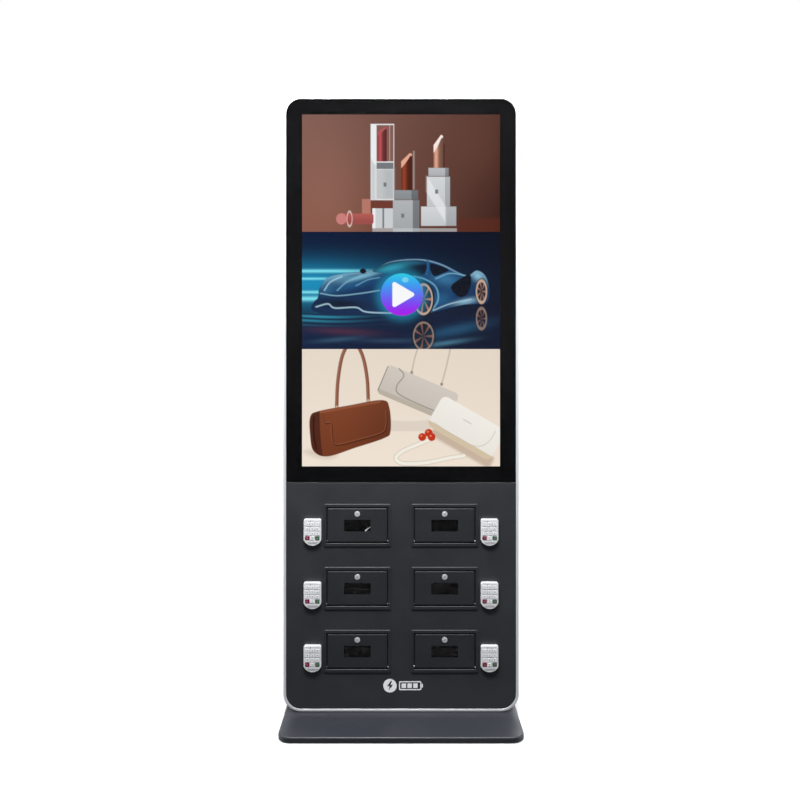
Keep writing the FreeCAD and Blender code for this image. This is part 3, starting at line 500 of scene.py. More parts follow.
# ---------------------------------------------------------------- drawing on the display
PICTURE_W = (SCREEN_HI[0] - SCREEN_LO[0]) / ((SCREEN_HI[2] - SCREEN_LO[2]) / 3)
COLUMNS, ROWS = 400, 238
BLUR = 0.005


def cover(distance, blur=BLUR):
    """Share of a point inside a shape: one well inside, none well outside, a ramp over the blur."""
    return np.clip(0.5 - distance / blur, 0, 1)


def lay(paper, share, colour):
    """Paints a colour, or an array of colours, over the paper by share."""
    paper += (colour - paper) * share[..., None]


def turned(x, y, cx, cy, degrees):
    """Coordinates in a frame centred on (cx, cy) and turned by an angle."""
    a = math.radians(degrees)
    dx, dy = x - cx, y - cy
    return dx * math.cos(a) + dy * math.sin(a), -dx * math.sin(a) + dy * math.cos(a)


def block(x, y, x0, x1, y0, y1, r=0.0):
    """Signed distance from an upright block with rounded corners."""
    qx = np.abs(x - (x0 + x1) / 2) - (x1 - x0) / 2 + r
    qy = np.abs(y - (y0 + y1) / 2) - (y1 - y0) / 2 + r
    return np.hypot(np.maximum(qx, 0), np.maximum(qy, 0)) + np.minimum(np.maximum(qx, qy), 0) - r


def oval(x, y, cx, cy, rx, ry):
    """Near-signed distance from an ellipse."""
    return (np.hypot((x - cx) / rx, (y - cy) / ry) - 1) * min(rx, ry)


def smooth_path(points, closed=False, per=10):
    """Catmull-Rom curve through the points."""
    p = np.array(points, float)
    n = len(p)
    if closed:
        order = [np.roll(p, 1, 0), p, np.roll(p, -1, 0), np.roll(p, -2, 0)]
    else:
        q = np.vstack([2 * p[0] - p[1], p, 2 * p[-1] - p[-2]])
        order = [q[k:k + n - 1] for k in range(4)]
    t = np.linspace(0, 1, per, endpoint=False)[:, None, None]
    a, b, c, d = order
    bend, twist = 2 * a - 5 * b + 4 * c - d, 3 * b - a - 3 * c + d
    run = 0.5 * (2 * b + (c - a) * t + bend * t ** 2 + twist * t ** 3)
    run = run.transpose(1, 0, 2).reshape(-1, 2)
    return run if closed else np.vstack([run, p[-1]])


def line(x, y, path):
    """Distance from a broken line."""
    best = np.full(x.shape, 9.0)
    for (ax, ay), (bx, by) in zip(path[:-1], path[1:]):
        ex, ey = bx - ax, by - ay
        t = np.clip(((x - ax) * ex + (y - ay) * ey) / (ex * ex + ey * ey + 1e-12), 0, 1)
        best = np.minimum(best, np.hypot(x - ax - t * ex, y - ay - t * ey))
    return best


def region(x, y, path):
    """Signed distance from a closed outline.

    It is negative where a level ray crosses the outline an odd number of times.
    """
    path = np.vstack([path, path[:1]])
    inside = np.zeros(x.shape, bool)
    for (ax, ay), (bx, by) in zip(path[:-1], path[1:]):
        crosses = (ay > y) != (by > y)
        at = ax + (y - ay) * (bx - ax) / (by - ay if by != ay else 1e-12)
        inside ^= crosses & (x < at)
    distance = line(x, y, path)
    return np.where(inside, -distance, distance)


def slab(paper, x, y, sides, colour, share=1.0, blur=BLUR):
    """A filled block whose sides are (x0, x1, y0, y1), and a corner radius where given."""
    lay(paper, share * cover(block(x, y, *sides), blur), colour)


def stroke(paper, x, y, points, half_width, colour, share=1.0, blur=BLUR):
    """A smooth line of even width through the points."""
    lay(paper, share * cover(line(x, y, smooth_path(points)) - half_width, blur), colour)


def patch(paper, x, y, points, colour, share=1.0, blur=BLUR):
    """A filled smooth outline through the points."""
    lay(paper, share * cover(region(x, y, smooth_path(points, True)), blur), colour)


def four_corners(x, y, low_left, low_right, high_left, high_right):
    """Colour blended between the picture's four corners."""
    u, v = (x / PICTURE_W)[..., None], y[..., None]
    low = low_left * (1 - u) + low_right * u
    high = high_left * (1 - u) + high_right * u
    return low * (1 - v) + high * v


def stick(paper, x, y, x0, x1, y0, y1, slope, flesh, cut):
    """A lipstick bullet: a round-sided column shaded across, with a slanting cut face and a blunt tip."""
    across = np.clip((x - x0) / (x1 - x0), 0, 1)
    tip = y1 - slope * (1 - across) - 0.3 * slope * np.maximum(across - 0.8, 0) / 0.2
    body = np.maximum(block(x, y, x0, x1, y0, y1 + 0.01), y - tip)
    shade = 0.5 + 0.85 * np.exp(-((across - 0.28) / 0.2) ** 2) - 0.25 * across
    lay(paper, cover(body), flesh * shade[..., None])
    face = np.maximum(body, tip - 0.5 * slope * (1 - across ** 2) - 0.012 - y)
    lay(paper, cover(face), cut)


def tube(paper, x, y, x0, x1, y0, y1, face, side, split, glow=0.18):
    """A square tube standing corner-on: a lit face and a darker side, parted at split."""
    front = block(x, y, x0, split, y0, y1)
    tone = 1 + glow * np.clip((y - y0) / (y1 - y0), 0, 1)[..., None] - glow / 2
    lay(paper, cover(front), face * tone)
    lay(paper, cover(block(x, y, split, x1, y0, y1)), side * tone)


def cosmetics(x, y):
    """Lipsticks on small blocks before a warm brown wall."""
    paper = four_corners(x, y, ink(140, 90, 74), ink(58, 28, 20), ink(132, 94, 84), ink(84, 48, 38))
    lay(paper, 0.3 * np.exp(-((x - 0.25) / 0.3) ** 2 - ((y - 0.35) / 0.5) ** 2), ink(166, 116, 100))
    lay(paper, 0.45 * np.exp(-((x - 1.45) / 0.25) ** 2 - ((y - 0.75) / 0.3) ** 2), ink(104, 64, 52))
    table = np.clip((0.13 - y) / 0.03, 0, 1) * np.clip((x - 0.9) / 0.5, 0, 1)
    lay(paper, 0.6 * table, ink(96, 40, 24))
    white, pale, mid, dark = ink(240, 241, 242), ink(206, 209, 211), ink(172, 176, 179), ink(118, 122, 126)
    slab(paper, x, y, (0.52, 0.79, 0.14, 0.27), ink(112, 58, 44))
    slab(paper, x, y, (0.51, 0.585, 0.14, 0.28), ink(184, 120, 104))
    # tall tube with a clear cap
    slab(paper, x, y, (0.585, 0.785, 0.27, 0.92), white)
    shadow = y - 0.62 - 1.3 * (0.585 - x)
    lay(paper, 0.35 * cover(np.maximum(block(x, y, 0.585, 0.63, 0.27, 0.92), shadow), 0.03), dark)
    slab(paper, x, y, (0.635, 0.78, 0.28, 0.53), ink(196, 198, 200))
    slab(paper, x, y, (0.70, 0.78, 0.28, 0.53), mid, 0.5, 0.05)
    slab(paper, x, y, (0.635, 0.78, 0.535, 0.59), dark)
    slab(paper, x, y, (0.695, 0.72, 0.385, 0.42), dark)
    slab(paper, x, y, (0.635, 0.78, 0.60, 0.91), ink(134, 92, 84))
    slab(paper, x, y, (0.745, 0.75, 0.60, 0.91), ink(196, 176, 172))
    stick(paper, x, y, 0.645, 0.722, 0.60, 0.905, 0.05, ink(170, 74, 76), ink(178, 88, 88))
    # lying one
    slab(paper, x, y, (0.60, 0.78, 0.03, 0.20), pale)
    slab(paper, x, y, (0.685, 0.70, 0.03, 0.20), dark)
    slab(paper, x, y, (0.60, 0.625, 0.03, 0.20), white)
    body = block(x, y, 0.33, 0.61, 0.065, 0.155, 0.02)
    lay(paper, cover(body), ink(176, 88, 84) * (0.8 + 5 * np.clip(y - 0.09, 0, 0.06))[..., None])
    lay(paper, cover(oval(x, y, 0.335, 0.11, 0.045, 0.048)), ink(206, 128, 124))
    lay(paper, cover(np.abs(oval(x, y, 0.405, 0.11, 0.022, 0.062)) - 0.003), ink(226, 196, 186))
    # front one
    tube(paper, x, y, 0.775, 1.0, 0.0, 0.27, mid, dark, 0.945)
    tube(paper, x, y, 0.79, 0.99, 0.275, 0.355, ink(140, 146, 150), ink(104, 110, 114), 0.935)
    slab(paper, x, y, (0.845, 0.872, 0.12, 0.155), dark)
    slab(paper, x, y, (0.945, 0.96, 0.36, 0.69), ink(190, 178, 172), 0.5)
    stick(paper, x, y, 0.845, 0.938, 0.355, 0.69, 0.09, ink(134, 56, 32), ink(232, 172, 146))
    # right-hand one on its block
    tube(paper, x, y, 1.015, 1.315, 0.05, 0.215, pale, mid, 1.225)
    tube(paper, x, y, 1.065, 1.262, 0.215, 0.47, pale, mid, 1.222)
    tube(paper, x, y, 1.078, 1.25, 0.475, 0.545, ink(182, 184, 187), ink(132, 136, 140), 1.222)
    beam = np.abs(y - 0.30 + 1.6 * (x - 1.13)) - 0.07
    lay(paper, 0.6 * cover(np.maximum(block(x, y, 1.065, 1.222, 0.06, 0.47), beam), 0.03), white)
    slab(paper, x, y, (1.135, 1.16, 0.325, 0.36), dark)
    slab(paper, x, y, (1.202, 1.218, 0.545, 0.75), ink(84, 44, 34))
    stick(paper, x, y, 1.122, 1.202, 0.545, 0.85, 0.11, ink(206, 148, 124), ink(252, 236, 228))
    slab(paper, x, y, (0.6, 1.32, 0.0, 0.03), pale, 0.5)
    return paper


def wheel(paper, x, y, cx, cy, rx, ry, share):
    """A spoked wheel seen at an angle."""
    lay(paper, share * cover(oval(x, y, cx, cy, rx * 1.18, ry * 1.14)), ink(3, 8, 20))
    lay(paper, share * cover(oval(x, y, cx, cy, rx, ry)), ink(30, 38, 52))
    angle = np.arctan2((y - cy) / ry, (x - cx) / rx)
    reach = np.hypot((x - cx) / rx, (y - cy) / ry)
    spoke = np.clip(2.5 * np.cos(angle * 7) - 1.2, 0, 1) * (reach < 0.92)
    lay(paper, share * 0.8 * spoke, ink(190, 132, 104))
    lay(paper, share * cover(np.abs(reach - 0.93) * min(rx, ry) - 0.006), ink(196, 168, 150))


def glow_spots(paper, x, y, inside, spots):
    """Soft oval lights and shadows. A spot is (centre, radii, tilt in degrees, share, colour)."""
    for (cx, cy), (rx, ry), tilt, share, colour in spots:
        u, v = turned(x, y, cx, cy, tilt)
        lay(paper, share * inside * np.exp(-(u / rx) ** 2 - (v / ry) ** 2), colour)


def motor_car(x, y):
    """A low coupe in blue light, its reflection on a wet floor, and a round play button over it."""
    paper = four_corners(x, y, ink(4, 30, 66), ink(2, 12, 40), ink(1, 22, 56), ink(1, 8, 30))
    glow = np.exp(-(x / 0.75) ** 2) * (0.75 * np.exp(-((y - 0.56) / 0.17) ** 2))
    lay(paper, glow, ink(20, 160, 210))
    streaks = ((0.665, 0.014, 0.62), (0.485, 0.012, 0.4), (0.43, 0.02, 0.3), (0.60, 0.01, 0.3))
    for height, spread, reach in streaks:
        streak = np.exp(-((y - height) / spread) ** 2) * np.exp(-(x / reach) ** 4)
        lay(paper, 0.9 * streak, ink(130, 236, 250))
    wet_floor(paper, x, y)
    hull = smooth_path([(0.085, 0.335), (0.10, 0.40), (0.135, 0.44), (0.15, 0.52), (0.22, 0.61),
                        (0.36, 0.645), (0.58, 0.67), (0.74, 0.745), (0.90, 0.77), (1.06, 0.765),
                        (1.20, 0.725), (1.34, 0.655), (1.42, 0.63), (1.49, 0.67), (1.56, 0.63),
                        (1.595, 0.53), (1.585, 0.41), (1.52, 0.385), (1.36, 0.375), (1.10, 0.31),
                        (0.90, 0.29), (0.55, 0.295), (0.24, 0.29)], True)
    edge = region(x, y, hull)
    inside = cover(edge)
    skin = four_corners(x, y, ink(4, 20, 48), ink(6, 34, 74), ink(16, 62, 110), ink(18, 62, 108))
    lay(paper, inside, skin)
    glow_spots(paper, x, y, inside, (
        ((0.30, 0.61), (0.17, 0.035), 12, 0.75, ink(110, 176, 206)),
        ((0.52, 0.62), (0.17, 0.022), 16, 0.7, ink(140, 206, 230)),
        ((0.40, 0.54), (0.22, 0.035), 14, 0.45, ink(40, 108, 160)),
        ((0.20, 0.53), (0.05, 0.06), 60, 0.5, ink(60, 130, 170)),
        ((0.34, 0.385), (0.20, 0.035), -3, 0.8, ink(2, 8, 22)),
        ((1.22, 0.60), (0.13, 0.06), -12, 0.65, ink(60, 130, 176)),
        ((1.50, 0.625), (0.06, 0.04), -30, 0.8, ink(150, 206, 230)),
        ((1.18, 0.42), (0.10, 0.07), 20, 0.55, ink(40, 110, 160)),
        ((1.40, 0.405), (0.10, 0.025), 12, 0.7, ink(150, 200, 224))))
    rim = cover(np.abs(edge + 0.010) - 0.003, 0.014) * np.clip((y - 0.5) * 5, 0, 1)
    lay(paper, 0.75 * rim, ink(170, 214, 234))
    windows(paper, x, y)
    creases = (([(0.155, 0.475), (0.30, 0.455), (0.50, 0.475), (0.66, 0.50)], 0.004, ink(150, 200, 224)),
               ([(0.19, 0.50), (0.24, 0.57), (0.34, 0.62)], 0.004, ink(190, 226, 240)),
               ([(0.30, 0.50), (0.38, 0.57), (0.52, 0.63)], 0.004, ink(130, 190, 216)),
               ([(0.46, 0.54), (0.56, 0.59), (0.66, 0.61)], 0.003, ink(120, 186, 216)),
               ([(0.12, 0.36), (0.22, 0.385), (0.28, 0.35), (0.46, 0.355), (0.56, 0.315), (0.88, 0.305)],
                0.005, ink(190, 226, 240)),
               ([(0.95, 0.62), (1.05, 0.595), (1.14, 0.53), (1.16, 0.42), (1.10, 0.32)],
                0.006, ink(110, 176, 210)),
               ([(1.12, 0.33), (1.26, 0.385), (1.44, 0.425)], 0.004, ink(180, 214, 232)),
               ([(1.14, 0.60), (1.26, 0.645), (1.40, 0.625)], 0.004, ink(130, 190, 216)))
    for points, wide, colour in creases:
        stroke(paper, x, y, points, wide, colour, 0.85, 0.01)
    vent = [(1.27, 0.53), (1.35, 0.60), (1.43, 0.635), (1.44, 0.55), (1.40, 0.46), (1.33, 0.45)]
    patch(paper, x, y, vent, ink(3, 10, 26))
    wheel(paper, x, y, 1.035, 0.425, 0.08, 0.135, 1.0)
    wheel(paper, x, y, 1.53, 0.49, 0.046, 0.1, 1.0)
    wheel(paper, x, y, 1.035, 0.11, 0.09, 0.125, 0.45)
    wheel(paper, x, y, 1.53, 0.26, 0.045, 0.095, 0.4)
    play_button(paper, x, y)
    return paper


def wet_floor(paper, x, y):
    """The floor of the car's picture: dark, rippled, with cyan and red light lying on it."""
    floor = np.clip((0.32 - y) / 0.04, 0, 1)
    water = four_corners(x, y, ink(6, 26, 60), ink(4, 16, 44), ink(8, 50, 90), ink(3, 16, 46))
    lay(paper, 0.9 * floor, water)
    ripple = 0.5 + 0.5 * np.sin(y * 160 + np.sin(x * 5) * 2)
    cyan = np.exp(-((x - 0.1) / 0.35) ** 2 - ((y - 0.27) / 0.05) ** 2)
    lay(paper, floor * 0.5 * ripple * cyan, ink(60, 190, 220))
    glow_spots(paper, x, y, floor, (
        ((0.35, 0.15), (0.28, 0.03), -3, 0.55, ink(92, 46, 66)),
        ((0.30, 0.08), (0.2, 0.02), 5, 0.4, ink(70, 110, 140)),
        ((1.30, 0.16), (0.28, 0.045), 12, 0.5, ink(40, 100, 140)),
        ((1.22, 0.05), (0.2, 0.02), 8, 0.5, ink(90, 150, 180)),
        ((0.75, 0.07), (0.25, 0.02), 0, 0.4, ink(60, 90, 120))))


def windows(paper, x, y):
    """The car's windscreen, teal at its left, and its dark side window, parted by a pillar."""
    screen = smooth_path([(0.60, 0.665), (0.74, 0.735), (0.90, 0.757), (1.04, 0.75), (1.06, 0.70),
                          (1.03, 0.635), (0.90, 0.63), (0.74, 0.645)], True)
    seen = cover(region(x, y, screen))
    lay(paper, seen, ink(4, 18, 42))
    glow_spots(paper, x, y, seen, (((0.76, 0.69), (0.15, 0.035), 14, 0.85, ink(50, 160, 186)),
                                   ((0.95, 0.735), (0.12, 0.015), 0, 0.5, ink(40, 110, 150))))
    side = [(1.09, 0.72), (1.16, 0.715), (1.25, 0.675), (1.20, 0.645), (1.12, 0.625)]
    patch(paper, x, y, side, ink(4, 16, 38))
    stroke(paper, x, y, [(1.07, 0.75), (1.075, 0.69), (1.06, 0.635)], 0.008, ink(34, 92, 138))
    for cx, cy in ((0.52, 0.665), (1.155, 0.67)):
        lay(paper, cover(oval(x, y, cx, cy, 0.028, 0.022)), ink(3, 12, 28))


def play_button(paper, x, y):
    """A round button shaded from cyan through blue to violet, with a white rounded triangle."""
    cx, cy, r = 0.85, 0.465, 0.18
    around = np.hypot(x - cx, y - cy)
    lay(paper, 0.45 * np.exp(-((np.maximum(around - r, 0)) / 0.05) ** 2), ink(30, 150, 190))
    v = np.clip((y - cy) / r * 0.5 + 0.5, 0, 1)[..., None]
    shade = ink(176, 20, 236) * (1 - v) ** 3 + 3 * ink(96, 30, 250) * v * (1 - v) ** 2
    shade = shade + 3 * ink(40, 130, 250) * v ** 2 * (1 - v) + ink(44, 208, 232) * v ** 3
    lay(paper, cover(around - r), shade)
    lay(paper, 0.55 * cover(oval(x, y, cx + 0.03, cy + 0.125, 0.028, 0.022)), ink(150, 235, 245))
    arrow = np.array([(cx - 0.062, cy + 0.088), (cx - 0.062, cy - 0.088), (cx + 0.088, cy)])
    lay(paper, cover(region(x, y, arrow) - 0.018), ink(252, 252, 255))


def handbags(x, y):
    """Three plain shoulder bags on a cream ground."""
    paper = four_corners(x, y, ink(244, 231, 216), ink(243, 229, 213), ink(233, 220, 205), ink(232, 218, 202))
    shadow = [(0.02, 0.12), (0.15, 0.15), (0.30, 0.10), (0.20, 0.06)]
    patch(paper, x, y, shadow, ink(170, 140, 112), 0.35, 0.05)
    # round plinth
    slab(paper, x, y, (0.72, 1.10, 0.30, 0.41, 0.02), ink(226, 213, 200))
    lay(paper, cover(oval(x, y, 0.91, 0.41, 0.19, 0.025)), ink(238, 226, 212))
    # brown bag
    strap = ink(134, 80, 60)
    for points in ([(0.295, 0.50), (0.305, 0.72), (0.34, 0.93), (0.40, 1.06)],
                   [(0.565, 0.555), (0.555, 0.75), (0.52, 0.93), (0.46, 1.06)]):
        stroke(paper, x, y, points, 0.015, strap)
        stroke(paper, x + 0.004, y, points, 0.004, ink(178, 124, 100), 0.6, 0.008)
        lay(paper, cover(oval(x, y, points[0][0], points[0][1], 0.012, 0.018)), ink(206, 176, 140))
    bag = smooth_path([(0.07, 0.42), (0.14, 0.47), (0.40, 0.52), (0.68, 0.565), (0.745, 0.50),
                       (0.755, 0.30), (0.70, 0.24), (0.46, 0.16), (0.22, 0.085), (0.10, 0.13),
                       (0.07, 0.26)], True)
    body = region(x, y, bag)
    leather = ink(122, 62, 36) * (0.72 + 0.6 * np.clip(y - 0.05, 0, 1) + 0.15 * np.sin(x * 6))[..., None]
    lay(paper, cover(body), leather)
    lay(paper, cover(np.maximum(body, x - 0.15 - 0.2 * (0.45 - y) ** 2)), ink(82, 38, 24))
    stroke(paper, x, y, [(0.10, 0.42), (0.10, 0.28), (0.12, 0.15)], 0.006, ink(44, 20, 14))
    flap = [(0.16, 0.45), (0.20, 0.37), (0.25, 0.36), (0.26, 0.24), (0.30, 0.18), (0.50, 0.225), (0.68, 0.28),
            (0.72, 0.34), (0.72, 0.46)]
    stroke(paper, x, y, flap, 0.005, ink(70, 30, 18), blur=0.008)
    stroke(paper, x + 0.006, y - 0.008, flap, 0.002, ink(176, 108, 76), 0.6, 0.008)
    stroke(paper, x, y, [(0.16, 0.46), (0.40, 0.505), (0.66, 0.55)], 0.006, ink(168, 98, 68), 0.7, 0.014)
    # pale grey bag, tilted
    for points in ([(0.935, 0.80), (0.96, 0.92), (1.0, 1.05)], [(1.19, 0.70), (1.23, 0.85), (1.275, 1.05)]):
        stroke(paper, x, y, points, 0.006, ink(196, 186, 172))
        lay(paper, cover(oval(x, y, points[0][0], points[0][1], 0.012, 0.014)), ink(150, 140, 124))
    u, v = turned(x, y, 0.985, 0.615, -23)
    body = block(u, v, -0.33, 0.33, -0.125, 0.14, 0.04)
    lay(paper, cover(body), ink(210, 202, 192) * (0.93 + 0.5 * np.clip(v + 0.05, -0.1, 0.2))[..., None])
    lay(paper, cover(np.maximum(body, v + 0.085)), ink(188, 178, 164))
    seam = [(-0.23, 0.14), (-0.17, 0.10), (-0.19, 0.0), (-0.15, -0.06), (0.05, -0.075), (0.33, -0.07)]
    stroke(paper, u, v, seam, 0.004, ink(140, 130, 118), blur=0.008)
    lay(paper, cover(line(u, v, [(-0.325, 0.12), (-0.325, -0.10)]) - 0.003), ink(112, 104, 94))
    # white bag, lying
    u, v = turned(x, y, 1.385, 0.34, -30)
    body = block(u, v, -0.29, 0.33, -0.15, 0.145, 0.05)
    slab(paper, u, v, (-0.22, 0.36, -0.21, -0.10, 0.03), ink(150, 112, 70), 0.5, 0.03)
    lay(paper, cover(body), ink(244, 240, 232) * (0.97 + 0.25 * np.clip(v, -0.15, 0.15))[..., None])
    lay(paper, cover(np.maximum(body, v + 0.105)), ink(214, 196, 166))
    seam = [(-0.24, -0.10), (-0.05, -0.115), (0.16, -0.10), (0.24, -0.02), (0.25, 0.1)]
    stroke(paper, u, v, seam, 0.003, ink(206, 196, 180))
    slab(paper, u, v, (-0.04, 0.04, 0.045, 0.05), ink(176, 166, 150))
    loop = [(1.13, 0.245), (1.02, 0.20), (0.86, 0.13), (0.80, 0.07), (0.86, 0.025), (1.05, 0.03),
            (1.25, 0.07), (1.38, 0.09)]
    stroke(paper, x, y, loop, 0.019, ink(196, 182, 158))
    stroke(paper, x, y, loop, 0.015, ink(245, 240, 228))
    for cx, cy in ((1.025, 0.25), (1.08, 0.285), (1.105, 0.25)):
        lay(paper, cover(oval(x, y, cx, cy, 0.034, 0.034)), ink(196, 52, 26))
        lay(paper, 0.8 * cover(oval(x, y, cx - 0.008, cy + 0.01, 0.008, 0.007)), ink(246, 160, 120))
    return paper


def display_picture(name, draw, index):
    """One third of the display as a fine grid, each point holding the colour of the picture there."""
    height = (SCREEN_HI[2] - SCREEN_LO[2]) / 3
    top = SCREEN_HI[2] - index * height
    u, v = np.meshgrid(np.linspace(0, 1, COLUMNS), np.linspace(0, 1, ROWS))
    y = np.full(u.shape, CELL_LO[1] - 0.05 * MM)
    points = np.stack([SCREEN_LO[0] + u * (SCREEN_HI[0] - SCREEN_LO[0]), y, top - height + v * height], -1)
    quads = grid_quads(ROWS, COLUMNS)[:, ::-1]
    mesh = mesh_from(name, points.reshape(-1, 3), quads)
    paint = np.ones((ROWS, COLUMNS, 4))
    paint[..., :3] = np.clip(draw(u * PICTURE_W, v), 0, 1)
    stored = mesh.color_attributes.new("picture", "FLOAT_COLOR", "POINT")
    stored.data.foreach_set("color", paint.astype(np.float32).ravel())
    place(name, mesh, "kiosk", PICTURE_LOOK)


PICTURE_LOOK = lit_picture("display_light")
for third, (title, drawing) in enumerate((("picture_cosmetics", cosmetics), ("picture_car", motor_car),
                                          ("picture_bags", handbags))):
    display_picture(title, drawing, third)


# ---------------------------------------------------------------- printed and small pieces
def glass_border():
    """Black print on the back of the glass: the glass's outline with the screen's window cut out."""
    inset = 0.4 * MM
    half = GLASS_HI[0] - inset
    square, round_ = 0.3 * MM, 39 * MM     # corner radii beside the panel joint and at the top
    gap = 0.2 * MM
    outer = loop_of_corners(half, GLASS_LO[2] + inset, GLASS_HI[2] - inset, (square, round_, round_, square))
    window = loop_of_corners(SCREEN_HI[0] + gap, SCREEN_LO[2] - gap, SCREEN_HI[2] + gap, (square,) * 4)
    mesh = joined("glass_border_print", [flat_plate([outer, window], GLASS_HI[1] - 0.02 * MM, PRINT_T)])
    border_ink = painted("border_ink", ink(8, 8, 10), 0.8, 0.0, 0.0, shine=0.02)
    place("glass_border_print", mesh, "kiosk", border_ink)


def charge_emblem():
    """Generic charging sign: a white disc with a bolt cut out of it, and a battery with charge bars."""
    turn = np.linspace(0, 2 * np.pi, 64, endpoint=False)
    disc = 18 * MM * np.stack([np.cos(turn), np.sin(turn)], 1) + [-35 * MM, 0]
    bolt = MM * np.array([(2.5, 13), (-8, -1.5), (-1.2, -1.5), (-3.5, -13), (8, 2.5), (1.2, 2.5), (5.5, 13)])
    bolt = bolt + [-35 * MM, 0]
    case = loop_of_corners(30 * MM, -12 * MM, 12 * MM, (4 * MM,) * 4, 8) + [19 * MM, 0]
    room = loop_of_corners(27 * MM, -9 * MM, 9 * MM, (2 * MM,) * 4, 8) + [19 * MM, 0]
    outlines = [disc, bolt, case, room]
    for k in range(3):
        outlines.append(loop_of_corners(6 * MM, -6 * MM, 6 * MM, (1 * MM,) * 4, 6) + [(2 + 15.5 * k) * MM, 0])
    outlines.append(loop_of_corners(1.6 * MM, -5 * MM, 5 * MM, (1 * MM,) * 4, 6) + [51.2 * MM, 0])
    plate = flat_plate(outlines, PANEL_LO[1], 0.15 * MM, (5.5 * MM, 86 * MM))
    emblem_white = painted("emblem_white", ink(246, 246, 252), 0.5, 0.0, 0.0)
    place("charge_emblem", joined("charge_emblem", [plate]), "kiosk", emblem_white)


LABEL_INK = painted("label_grey", ink(96, 99, 104), 0.6, 0.0, 0.0)
CRESCENT_INK = painted("crescent_grey", ink(150, 152, 155), 0.5, 0.0, 0.0)
LABEL_PALE = painted("label_pale", ink(168, 156, 160), 0.5, 0.0, 0.0)
LIGHTS_UP = 30.2 * MM          # signal lights above the keypad's centre
CRESCENT_DOWN = 25.6 * MM      # first stripe below it
KEY_PITCH_X, KEY_PITCH_Z = 13.4 * MM, 12.2 * MM
KEY_TOP_IN = 6.7 * MM          # middle of the top row below the mat's top edge
DIGIT_H = 4.6 * MM
SIGN_HALF_W = 0.3 * MM


def key_labels(n):
    """Digits on the white keys, a cross on the red one and a tick on the green one."""
    lo, hi = corner(f"keypad_keys_{n}"), corner(f"keypad_keys_{n}", False)
    cx, top_row = (lo[0] + hi[0]) / 2, hi[2] - KEY_TOP_IN
    bottom = top_row - 3 * KEY_PITCH_Z
    y = lo[1] - 0.02 * MM
    digits = []
    for k, digit in enumerate("123456789"):
        key = (cx + (k % 3 - 1) * KEY_PITCH_X, top_row - (k // 3) * KEY_PITCH_Z)
        digits.append(letters(digit, DIGIT_H, y, key))
    digits.append(letters("0", DIGIT_H, y, (cx, bottom)))
    cross = ((-KEY_PITCH_X, 0, 3.0 * MM, 45), (-KEY_PITCH_X, 0, 3.0 * MM, -45))
    tick = ((KEY_PITCH_X - 1.4 * MM, -0.8 * MM, 1.5 * MM, -45),
            (KEY_PITCH_X + 1.0 * MM, 0.3 * MM, 2.9 * MM, 50))
    signs = []
    for right, up, half_length, degrees in cross + tick:
        bar = turned_bar(half_length, SIGN_HALF_W, degrees)
        signs.append(flat_plate([bar], y + 0.04 * MM, 0.08 * MM, (cx + right, bottom + up)))
    place(f"key_digits_{n}", joined(f"key_digits_{n}", digits), f"key_mat_{n}", LABEL_INK)
    place(f"key_signs_{n}", joined(f"key_signs_{n}", signs), f"key_mat_{n}", LABEL_PALE)


def turned_bar(half_length, half_width, degrees):
    """Corners of a thin bar turned by an angle."""
    a = math.radians(degrees)
    along, across = np.array([math.cos(a), math.sin(a)]), np.array([-math.sin(a), math.cos(a)])
    ends = ((-1, -1), (1, -1), (1, 1), (-1, 1))
    return np.array([s * half_length * along + t * half_width * across for s, t in ends])


def keypad_marks(n):
    """Row of signal lights over the keys, and on the chin a striped grey crescent.

    Each stripe of the crescent is as wide as the chin's circle is at its height, less a margin.
    """
    lo, hi = corner(f"keypad_{n}"), corner(f"keypad_{n}", False)
    cx, cz, y = (lo[0] + hi[0]) / 2, (lo[2] + hi[2]) / 2, lo[1]
    turn = np.linspace(0, 2 * np.pi, 20, endpoint=False)
    dots = []
    for k in range(7):
        r = (1.5 if k == 2 else 0.75) * MM
        dots.append(flat_plate([r * np.stack([np.cos(turn), np.sin(turn)], 1)], y, 0.12 * MM,
                               (cx + (k - 3) * 4.9 * MM, cz + LIGHTS_UP)))
    place(f"keypad_lights_{n}", joined(f"keypad_lights_{n}", dots), "kiosk", LABEL_INK)
    chin_r = 25.2 * MM
    chin_centre = lo[2] + chin_r
    stripes = []
    for k in range(5):
        z = cz - CRESCENT_DOWN - 1.25 * MM * k
        half = math.sqrt(chin_r ** 2 - (chin_centre - z) ** 2) - 4.5 * MM
        stripe = loop_of_corners(half, -0.42 * MM, 0.42 * MM, (0.4 * MM,) * 4, 4)
        stripes.append(flat_plate([stripe], y, PRINT_T, (cx, z)))
    name = f"keypad_crescent_{n}"
    place(name, joined(name, stripes), "kiosk", CRESCENT_INK)


